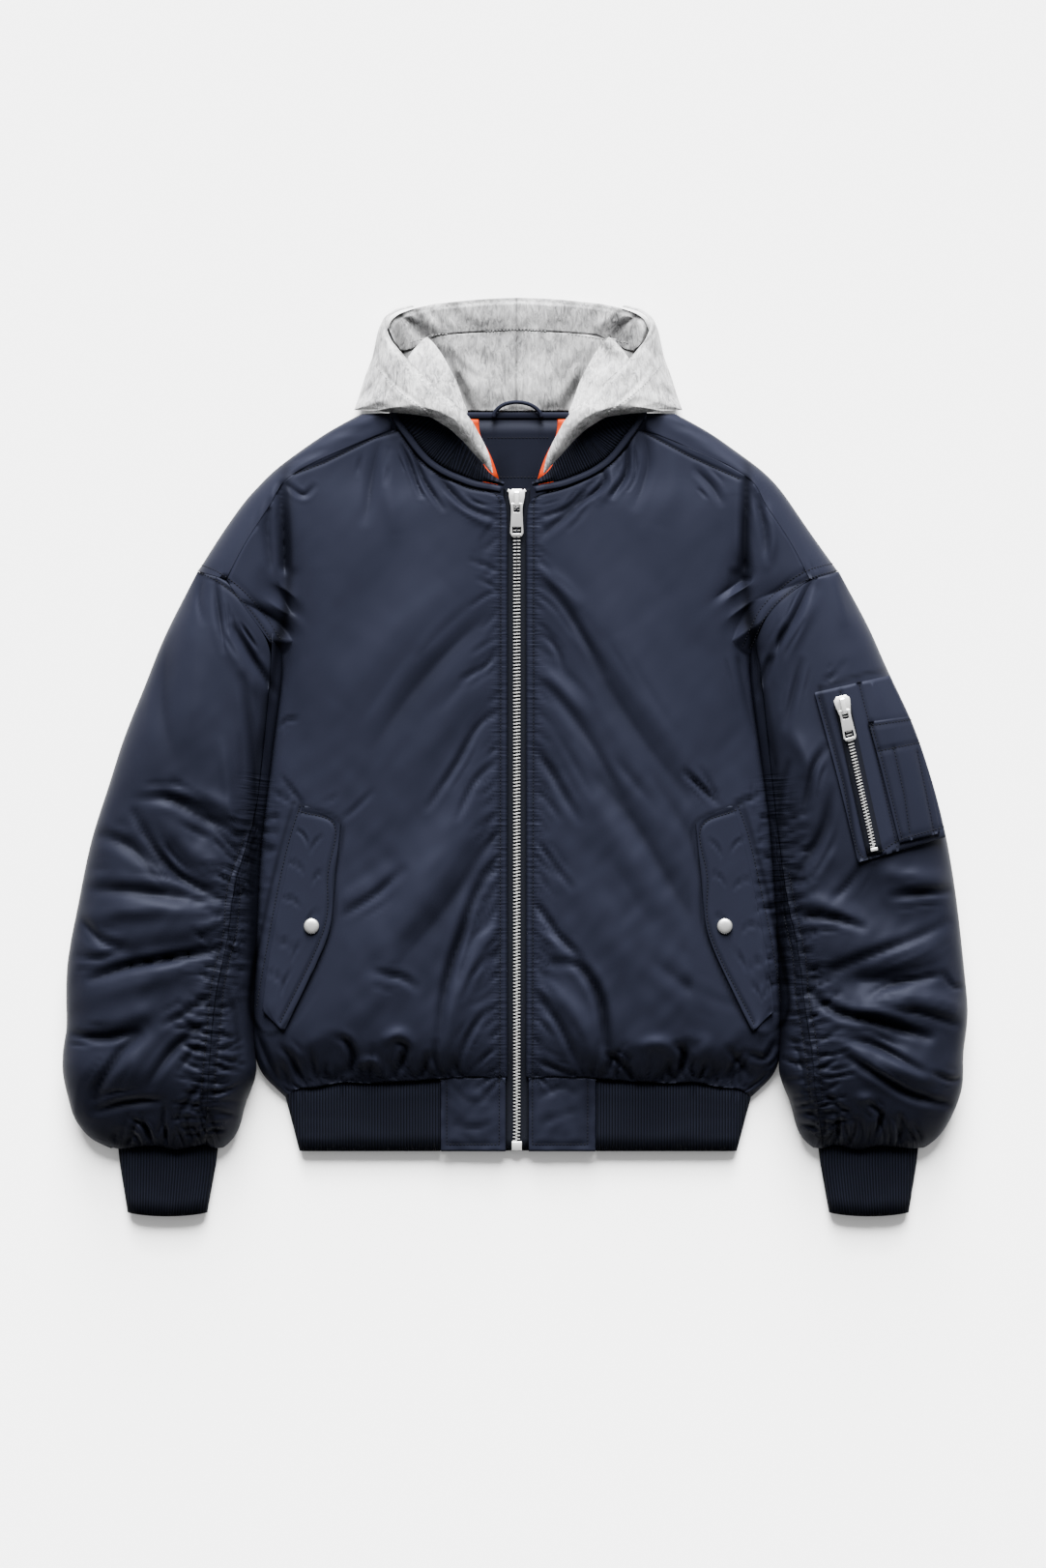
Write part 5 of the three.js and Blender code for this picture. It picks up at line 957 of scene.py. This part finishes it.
KNITS = {
    "hem_rib_left": ((0.145, 0.069), "navy_rib"), "hem_rib_right": ((0.145, 0.069), "navy_rib"),
    "hem_rib_back": ((0.434, 0.069), "navy_rib"), "cuff_left": ((0.175, 0.067), "navy_rib"),
    "cuff_right": ((0.175, 0.067), "navy_rib"), "collar_left": ((0.14, 0.029), "navy_rib"),
    "collar_right": ((0.14, 0.029), "navy_rib"), "collar_back": ((0.205, 0.044), "navy_rib"),
    "hem_tab_left": ((0.068, 0.07), "navy_satin"), "hem_tab_right": ((0.068, 0.07), "navy_satin"),
}


def stretch_rim(obj, above, reach, way):
    """Pulls the part of a piece above a height along y outwards, so that it tucks under its neighbour."""
    co = points_of(obj.data)
    share = np.clip((co[:, 1] / MM - above) / reach, 0, 1)
    co += share[:, None] * np.array(way) * MM
    move_points(obj.data, co)


class JACKET_OT_trims(bpy.types.Operator):
    """Make the hem, cuffs, collar and hem tabs"""

    bl_idname = "jacket.trims"
    bl_label = "Hem, cuffs and collar"

    def execute(self, context):
        for name, (cut, slot) in KNITS.items():
            piece = rounded(name, 2 if slot == "navy_rib" else 3, 50 if slot == "navy_rib" else 25, shown=name + "_cloth")
            if slot == "navy_satin":
                co = points_of(piece.data)
                co[:, 2] += 0.5 * MM * waves(co[:, :2] / MM, 16, len(name))
                move_points(piece.data, co)
                added = lift_by_relief(piece, 0, 1)
                mark_seams(piece)
                # Painted shade: the hem tabs darker in the troughs of their folds and a little darker overall.
                mark_painted_light(piece, 0.88 * (1 - 0.66 * np.clip(-added / 3.5, 0, 1)))
            else:
                mark_run(piece, name)
            if name.startswith("cuff"):
                stretch_rim(piece, -378, 10, (0, 7, -0.8))
            if name in ("collar_left", "collar_right"):
                stretch_rim(piece, 300, 12, (-5 if name.endswith("left") else 5, 3, 0))
            dress(piece, slot)
            finish_piece(piece, [name])
        return {"FINISHED"}


NECK = {
    "neck_binding_left": ((0.145, 0.0125), "navy_satin", 2), "neck_binding_right": ((0.145, 0.0125), "navy_satin", 2),
    "back_facing": ((0.144, 0.092), "navy_satin", 2), "lining_left": ((0.017, 0.073), "orange_lining", 2),
    "lining_right": ((0.017, 0.073), "orange_lining", 2), "back_neck_binding": ((0.116, 0.0102), "navy_satin", 2),
    "hanger_loop": ((0.0102, 0.05), "navy_satin", 1),
}
HOOD = {
    "hood_side_left": ((0.10, 0.175), 0.0095), "hood_side_right": ((0.10, 0.175), 0.0095),
    "hood_flap_left": ((0.04, 0.095), 0.0024), "hood_flap_right": ((0.04, 0.095), 0.0024),
    "hood_back": ((0.264, 0.061), 0.0158), "hood_inside": ((0.21, 0.077), 0.0136), "hood_band": ((0.25, 0.042), 0.0088),
}


class JACKET_OT_neck(bpy.types.Operator):
    """Make the neckline binding, the facing, the lining and the hanger loop"""

    bl_idname = "jacket.neck"
    bl_label = "Neckline"

    def execute(self, context):
        for name, (cut, slot, levels) in NECK.items():
            piece = rounded(name, levels, shown=name + "_cloth")
            if name.startswith("neck_binding"):
                stretch_rim(piece, 296, 14, (-3.5 if name.endswith("left") else 3.5, 2, 0))
            if name.startswith("lining"):
                co = points_of(piece.data)
                co[:, 2] -= 2.5 * MM * np.clip((261 - co[:, 1] / MM) / 3, 0, 1)
                move_points(piece.data, co)
            # Painted shade: the back facing much darker, the other neck pieces a little, and more along the
            # FACING_SHADE lines.
            tone = 0.62 if name == "back_facing" else 0.9
            mark_painted_light(piece, tone * shaded(points_of(piece.data)[:, :2] / MM, FACING_SHADE, "plain"))
            dress(piece, slot)
            finish_piece(piece, [name])
        return {"FINISHED"}


# Folds of the hood on the "hood" quarter's drawing, as in FOLDS: on its outer sides, then inside it.
HOOD_FOLDS = {
    "outer": [
        ([(92, 490), (140, 450), (185, 395)], 22, -3),
        ([(60, 555), (130, 520), (215, 520)], 20, 2),
        ([(150, 300), (215, 420), (330, 520), (420, 590)], 16, -1.6),
        ([(190, 250), (300, 400), (420, 510), (520, 600)], 26, 2),
        ([(1432, 500), (1380, 440), (1352, 380)], 22, -3),
        ([(1370, 300), (1290, 430), (1180, 540), (1120, 590)], 16, -1.6),
        ([(1330, 240), (1210, 400), (1100, 510)], 26, 2),
    ],
    "inside": [
        ([(250, 130), (330, 190), (390, 240)], 22, -6),
        ([(200, 110), (225, 190), (250, 270)], 22, -5),
        ([(330, 105), (400, 180), (440, 215)], 26, 3),
        ([(1290, 130), (1205, 190), (1150, 240)], 22, -6),
        ([(1345, 110), (1322, 190), (1290, 290)], 22, -5),
        ([(1210, 105), (1140, 180), (1100, 215)], 26, 3),
        ([(520, 330), (590, 450), (640, 530)], 30, -4),
        ([(1030, 330), (960, 430), (905, 530)], 30, -4.5),
        ([(560, 300), (660, 380), (760, 400)], 26, 3),
        ([(1000, 290), (900, 370), (800, 400)], 26, 3),
        ([(640, 520), (760, 500), (900, 520)], 26, -3),
    ],
}


# Where little light reaches the hood's cloth: pieces, points on the "hood" quarter, half width, what is taken away.
HOOD_SHADE = [
    ("band", [(215, 200), (262, 150), (262, 210), (300, 262)], 30, 0.6), ("band", [(330, 112), (380, 190), (425, 222)], 20, 0.6),
    ("band", [(1380, 200), (1345, 130), (1330, 200), (1290, 262)], 30, 0.6),
    ("band", [(1300, 118), (1240, 190), (1170, 235)], 18, 0.55), ("band", [(1215, 100), (1165, 165), (1100, 212)], 18, 0.5),
    ("band", [(1120, 90), (1075, 150), (1020, 195)], 20, 0.35), ("band", [(480, 80), (520, 140), (610, 190)], 22, 0.45),
    ("band", [(600, 80), (690, 100), (740, 160)], 18, 0.25), ("band", [(1010, 80), (980, 140), (900, 190)], 18, 0.3),
    ("band", [(400, 120), (470, 190), (520, 215)], 15, 0.35),
    ("band", [(215, 180), (330, 128), (560, 88), (760, 78), (980, 92), (1200, 130), (1350, 190)], 10, 0.45),
    ("band", [(245, 272), (370, 246), (570, 218), (760, 208), (1040, 232), (1300, 272)], 6, 0.55),
    ("inside", [(415, 250), (480, 340), (535, 470), (590, 590), (665, 790)], 24, 0.72),
    ("inside", [(1075, 300), (1010, 440), (965, 540), (925, 640), (880, 740)], 24, 0.72),
    ("inside", [(480, 290), (540, 360), (600, 400)], 16, 0.55), ("inside", [(520, 400), (570, 480), (640, 540)], 26, 0.5),
    ("inside", [(1040, 290), (990, 350), (930, 380)], 18, 0.55), ("inside", [(1010, 420), (950, 500), (880, 545)], 26, 0.5),
    ("inside", [(600, 540), (760, 500), (930, 540)], 30, 0.5), ("inside", [(620, 470), (700, 440), (760, 470)], 16, 0.3),
    ("inside", [(820, 380), (880, 420), (960, 400)], 16, 0.3), ("inside", [(640, 330), (700, 350), (730, 400)], 16, 0.25),
    ("inside", [(760, 220), (760, 560)], 5, 0.55), ("band", [(760, 60), (760, 215)], 5, 0.55),
    ("inside", [(250, 270), (320, 340), (420, 480)], 50, 0.6), ("inside", [(1290, 270), (1200, 360), (1090, 500)], 50, 0.6),
    ("side", [(92, 490), (140, 450)], 14, 0.45), ("side", [(1432, 490), (1385, 450)], 14, 0.45),
    ("side", [(322, 112), (215, 145), (200, 175), (218, 250), (290, 335), (480, 520), (540, 570)], 5, 0.5),
    ("side", [(1330, 118), (1352, 180), (1330, 240), (1250, 330), (1060, 520)], 5, 0.5),
    ("side", [(250, 330), (330, 430), (480, 570)], 12, 0.2), ("side", [(1290, 330), (1200, 430), (1060, 570)], 12, 0.2),
    ("side", [(70, 560), (230, 566), (400, 590)], 16, 0.4), ("side", [(1460, 566), (1300, 570), (1130, 590)], 16, 0.4),
    ("flap", [(340, 235), (310, 280), (270, 334)], 18, 0.6), ("flap", [(1110, 235), (1150, 290), (1200, 334)], 18, 0.6),
]


def shape_hood(obj, name):
    """Gives a hood piece its folds, a raised rim, overlaps with its neighbours, and painted shade."""
    co = points_of(obj.data)
    xy = co[:, :2] / MM
    up = np.abs(normals_of(obj.data)[:, 2])
    z = np.zeros(len(co))
    for points, wide, high in HOOD_FOLDS["outer" if "side" in name else "inside"]:
        add_fold(z, xy, curve_through(on_drawing("hood", points)), wide / 4.126 * UNIT, high)
    z += 0.5 * waves(xy, 34, 5) + 0.22 * waves(xy, 12, 9)
    if name in ("hood_inside", "hood_band"):
        z -= 1.1 * np.exp(-((xy[:, 0] + 1.3) / 1.6) ** 2)
        wide = np.clip((np.abs(xy[:, 0]) - 60) / 40, 0, 1)
        co[:, 0] *= 1 + (0.09 if name == "hood_inside" else 0.02) * wide
        co[:, 2] -= 3.5 * MM * wide * (name == "hood_inside")
        if name == "hood_band":
            corner = np.clip((np.abs(xy[:, 0]) - 72) / 26, 0, 1) * np.clip((402 - xy[:, 1]) / 9, 0, 1)
            co[:, 1] -= 8 * MM * corner
            co[:, 2] -= 1.5 * MM * corner
    co[:, 2] += z * MM * np.clip(up * 1.2, 0, 1)
    move_points(obj.data, co)
    # Painted shade along the HOOD_SHADE lines, over the whole inside and band, and in the troughs of the folds.
    tone = shaded(xy, [line for part, *line in HOOD_SHADE if part in name], "hood")
    tone *= 0.84 if name in ("hood_inside", "hood_band") else 1
    mark_painted_light(obj, tone * (1 - 0.3 * np.clip(-z / 4, 0, 1)))


class JACKET_OT_hood(bpy.types.Operator):
    """Make the hood"""

    bl_idname = "jacket.hood"
    bl_label = "Hood"

    def execute(self, context):
        for name, (cut, area) in HOOD.items():
            piece = rounded(name, 2, shown=name + "_cloth", longest=8 * MM)
            shape_hood(piece, name)
            dress(piece, "grey_marl_jersey")
            finish_piece(piece, [name])
        return {"FINISHED"}


class JACKET_OT_pockets(bpy.types.Operator):
    """Make the pocket flaps, snaps and sleeve pocket"""

    bl_idname = "jacket.pockets"
    bl_label = "Pockets"

    def execute(self, context):
        for name, cut in {"pocket_flap_left": (0.052, 0.2), "pocket_flap_right": (0.052, 0.2),
                          "sleeve_pocket": (0.088, 0.172), "pen_pocket": (0.048, 0.118)}.items():
            piece = rounded(name, 3, 22, shown=name + "_cloth")
            added = lift_by_relief(piece, 0, 1)
            # Painted shade along the SHADE lines and in the fold troughs; the pen pocket a little darker overall.
            tone = shaded(points_of(piece.data)[:, :2] / MM, SHADE, "plain")
            mark_painted_light(piece, (0.85 if name == "pen_pocket" else 1.0) * tone * (1 - 0.66 * np.clip(-added / 3.5, 0, 1)))
            dress(piece, "navy_satin")
            finish_piece(piece, [name])
        for side in ("left", "right"):
            snap = rounded("snap_" + side, 2, 75, shown="snap_cap_" + side)
            dress(snap, "snap_metal")
            finish_piece(snap, ["snap_" + side])
        return {"FINISHED"}


class JACKET_OT_zips(bpy.types.Operator):
    """Make both zips: tapes, stops, sliders and pull tabs"""

    bl_idname = "jacket.zips"
    bl_label = "Zips"

    def execute(self, context):
        for name, cut in {"zip_tape_left": (0.0125, 0.618), "zip_tape_right": (0.0125, 0.618),
                          "sleeve_zip_tape": (0.0165, 0.15)}.items():
            piece = rounded(name, 1, shown=name + "_cloth")
            dress(piece, "zip_tape")
            finish_piece(piece, [name])
        bodies = {"zip_pull": "front_zip_pull", "sleeve_zip_pull": "pocket_zip_pull"}
        for name in ("zip_box", "zip_stop_left", "zip_stop_right", "zip_slider", "zip_bridge", "zip_pull",
                     "sleeve_zip_slider", "sleeve_zip_bridge", "sleeve_zip_pull", "sleeve_zip_stop"):
            bm = frame_mesh(name)
            edges = [e for e in bm.edges if len(e.link_faces) == 2 and e.calc_face_angle(0) > math.radians(30)]
            bmesh.ops.bevel(bm, geom=edges, offset=0.00032, segments=2, affect="EDGES", profile=0.6)
            mesh = bpy.data.meshes.new(name + "_metal")
            bm.to_mesh(mesh)
            bm.free()
            piece = bpy.data.objects.new(name + "_metal", mesh)
            context.scene.collection.objects.link(piece)
            dress(piece, "zip_metal")
            finish_piece(piece, [name], body=bodies.get(name, ROOT))
        return {"FINISHED"}


def line_object(name, lines):
    """A mesh of edges along lines of points in metres."""
    mesh = bpy.data.meshes.new(name)
    points, edges = [], []
    for line in lines:
        edges += [(len(points) + i, len(points) + i + 1) for i in range(len(line) - 1)]
        points += [tuple(p) for p in line]
    mesh.from_pydata(points, edges, [])
    obj = bpy.data.objects.new(name, mesh)
    bpy.context.scene.collection.objects.link(obj)
    return obj


def row_tree(name, pitch, size, material, bead):
    """Geometry nodes that set a bead or a block along each line, every pitch metres."""
    tree = bpy.data.node_groups.new(name, "GeometryNodeTree")
    tree.interface.new_socket("Geometry", in_out="INPUT", socket_type="NodeSocketGeometry")
    tree.interface.new_socket("Geometry", in_out="OUTPUT", socket_type="NodeSocketGeometry")
    w = Wire(tree)
    start = w.add("NodeGroupInput")
    curve = w.add("GeometryNodeMeshToCurve", {"Mesh": start.outputs[0]})
    even = w.add("GeometryNodeResampleCurve", {"Curve": curve.outputs[0], "Length": pitch}, mode="LENGTH")
    if bead:
        unit = w.add("GeometryNodeMeshUVSphere", {"Segments": 6, "Rings": 4, "Radius": 0.5})
    else:
        unit = w.add("GeometryNodeMeshCube", {"Size": (1, 1, 1)})
    turn = w.add("FunctionNodeAlignRotationToVector", {"Vector": w.add("GeometryNodeInputTangent").outputs[0]}, axis="Y",
                 pivot_axis="Z")
    rows = w.add("GeometryNodeInstanceOnPoints", {"Points": even.outputs[0], "Instance": unit.outputs["Mesh"],
                                                  "Rotation": turn.outputs[0], "Scale": size})
    real = w.add("GeometryNodeRealizeInstances", {"Geometry": rows.outputs[0]})
    coated = w.add("GeometryNodeSetMaterial", {"Geometry": real.outputs[0]})
    coated.inputs["Material"].default_value = bpy.data.materials[material + LOOK]
    out = w.add("NodeGroupOutput")
    tree.links.new(coated.outputs[0], out.inputs[0])
    return tree


def grow(lines, name, pitch, size, material, bead):
    """Runs the row tree on lines of points and returns the finished mesh object."""
    obj = line_object(name, lines)
    step = obj.modifiers.new("rows", "NODES")
    step.node_group = row_tree(name + "_rows", pitch, size, material, bead)
    mesh = bpy.data.meshes.new_from_object(obj.evaluated_get(bpy.context.evaluated_depsgraph_get()))
    obj.modifiers.clear()
    obj.data = mesh
    mesh.name = name
    if bead:
        mesh.shade_smooth()
    return obj


def cloth_top(names):
    """A function that gives the height of the named pieces' upper face above a spot in mm, or None."""
    points, faces = [], []
    for name in names:
        mesh = bpy.data.objects[name].data
        faces += [[len(points) + i for i in polygon.vertices] for polygon in mesh.polygons]
        points += [v.co.copy() for v in mesh.vertices]
    tree = BVHTree.FromPolygons(points, faces)

    def top(x, y):
        hit = tree.ray_cast(Vector((x * MM, y * MM, 0.2)), Vector((0, 0, -1)))
        return hit[0].z if hit[0] else None

    return top


def laid_on(line, top, lift, step=1.2):
    """Points along a line in mm, each set on the surface."""
    lengths = np.concatenate([[0], np.cumsum(np.linalg.norm(np.diff(line, axis=0), axis=1))])
    spots = np.arange(0, lengths[-1], step)
    out = []
    for x, y in zip(np.interp(spots, lengths, line[:, 0]), np.interp(spots, lengths, line[:, 1])):
        z = top(x, y)
        if z is not None:
            out.append((x * MM, y * MM, z + lift * MM))
    return out


class JACKET_OT_rows(bpy.types.Operator):
    """Make the zip teeth and the stitches"""

    bl_idname = "jacket.rows"
    bl_label = "Teeth and stitches"

    def execute(self, context):
        settings = context.scene.jacket
        for name, half, first in (("zip_teeth", 1.25, 0), ("sleeve_zip_teeth", 1.0, 0)):
            co = points_of(FRAME["nodes"][name].data) / MM
            upper = co[co[:, 2] > np.interp(co[:, 1], *lower_line(co)) + 1]
            order = np.argsort(upper[:, 1])
            upper = upper[order]
            ys = np.unique(np.round(upper[:, 1], 1))
            middle = np.array([upper[np.abs(upper[:, 1] - y) < 2.5].mean(0) for y in ys])
            way = middle[-1] - middle[0]
            way /= np.linalg.norm(way)
            across = np.array([way[1], -way[0], 0])
            lines = []
            for side in (-1, 1):
                row = middle + across * side * half - np.array([0, 0, 1.0])
                row[0] += way * settings.tooth_pitch / MM * (0.5 if side > 0 else 0)
                lines.append([tuple(p * MM) for p in row])
            size = (3.9 * MM, 0.9 * MM, 1.9 * MM) if name == "zip_teeth" else (3.2 * MM, 0.8 * MM, 1.7 * MM)
            teeth = grow(lines, name + "_metal", settings.tooth_pitch * (1 if name == "zip_teeth" else 0.9), size,
                         "zip_metal", False)
            finish_piece(teeth, [name])
        cloth = [o.name for o in bpy.data.objects if o.name.endswith("_cloth") and "lining" not in o.name]
        top = cloth_top([n for n in cloth if not n.startswith("zip_tape")])
        size = (settings.stitch_size, settings.stitch_pitch * 0.74, settings.stitch_size)
        lines = [laid_on(line, top, 0.12) for line in sewn_lines()]
        finish_piece(grow([n for n in lines if len(n) > 2], "stitches", settings.stitch_pitch, size, "thread", True),
                     [])
        lines = [laid_on(curve_through(on_drawing("plain", points), 5), top, 0.1) for points in HOOD_SEWN]
        seams = grow(lines, "hood_stitches", settings.stitch_pitch, size, "grey_marl_jersey", True)
        # The hood's stitches are given painted shade, a little darker than the jersey.
        mark_painted_light(seams, 0.8)
        finish_piece(seams, [])
        return {"FINISHED"}


def lower_line(co):
    """Lowest height along y of a set of points, as two rows for interpolation."""
    ys = np.unique(np.round(co[:, 1], 0))
    return ys, np.array([co[np.abs(co[:, 1] - y) < 3, 2].min() for y in ys])


class JACKET_OT_stage(bpy.types.Operator):
    """Make the floor, the lights and the camera"""

    bl_idname = "jacket.stage"
    bl_label = "Floor, light and camera"

    def execute(self, context):
        scene = context.scene
        settings = scene.jacket_stage
        mesh = bpy.data.meshes.new("floor")
        mesh.from_pydata([(-6, -6, 0), (6, -6, 0), (6, 6, 0), (-6, 6, 0)], [], [(0, 1, 2, 3)])
        floor = bpy.data.objects.new("floor", mesh)
        scene.collection.objects.link(floor)
        w, shader = new_material("floor", (0.92, 0.92, 0.92), 0.9, specular_ior_level=0.1)
        shader.inputs["Emission Color"].default_value = (1, 1, 1, 1)
        shader.inputs["Emission Strength"].default_value = settings.glow
        floor.data.materials.append(bpy.data.materials["floor" + LOOK])
        for name, strength, height, size in (
                ("key_light", settings.key_strength, settings.key_height, settings.key_size),
                ("low_light", settings.low_strength, settings.low_height, settings.key_size * 0.6)):
            light = bpy.data.lights.new(name, "SUN")
            light.energy = strength
            light.angle = size
            lamp = bpy.data.objects.new(name, light)
            scene.collection.objects.link(lamp)
            lamp.rotation_euler = (height - math.pi / 2, 0, 0)
            lamp.location = (0, 2, 2)
        world = bpy.data.worlds.new("soft_sky")
        world.use_nodes = True
        sky = Wire(world.node_tree)
        way = sky.add("ShaderNodeSeparateXYZ", {0: sky.add("ShaderNodeTexCoord").outputs["Generated"]})
        front = sky.add("ShaderNodeMapRange", {0: way.outputs[1], 1: -0.6, 2: 0.9, 3: 0.5 * settings.sky,
                                               4: 1.7 * settings.sky}, interpolation_type="SMOOTHSTEP")
        background = world.node_tree.nodes["Background"]
        background.inputs["Color"].default_value = (1, 1, 1, 1)
        world.node_tree.links.new(front.outputs[0], background.inputs["Strength"])
        scene.world = world
        lens = bpy.data.cameras.new("camera")
        lens.lens = settings.lens
        lens.sensor_width = 36.0
        lens.clip_end = 100.0
        camera = bpy.data.objects.new("camera", lens)
        scene.collection.objects.link(camera)
        high = 1622 * UNIT * MM / 36.0 * settings.lens
        camera.location = ((541 - MIDDLE[0]) * UNIT * MM, (MIDDLE[1] - 811) * UNIT * MM, high + 0.02)
        scene.camera = camera
        return {"FINISHED"}


class JACKET_PT_panel(bpy.types.Panel):
    """Settings and steps of the jacket"""

    bl_idname = "JACKET_PT_panel"
    bl_label = "Bomber Jacket"
    bl_space_type = "VIEW_3D"
    bl_region_type = "UI"
    bl_category = "Jacket"

    def draw(self, context):
        for settings in (context.scene.jacket, context.scene.jacket_stage):
            for name in settings.__annotations__:
                self.layout.prop(settings, name)
        for step in STEPS:
            self.layout.operator(step.bl_idname)


STEPS = (JACKET_OT_materials, JACKET_OT_panels, JACKET_OT_trims, JACKET_OT_neck, JACKET_OT_hood, JACKET_OT_pockets,
         JACKET_OT_zips, JACKET_OT_rows, JACKET_OT_stage)
CLASSES = (JacketSettings, StageSettings, *STEPS, JACKET_PT_panel)


def register():
    for item in CLASSES:
        bpy.utils.register_class(item)
    bpy.types.Scene.jacket = PointerProperty(type=JacketSettings)
    bpy.types.Scene.jacket_stage = PointerProperty(type=StageSettings)


def unregister():
    del bpy.types.Scene.jacket_stage
    del bpy.types.Scene.jacket
    for item in reversed(CLASSES):
        bpy.utils.unregister_class(item)


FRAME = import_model()


def main():
    register()
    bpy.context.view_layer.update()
    for step in STEPS:
        group, name = step.bl_idname.split(".")
        getattr(getattr(bpy.ops, group), name)()


if __name__ == "__main__":
    main()
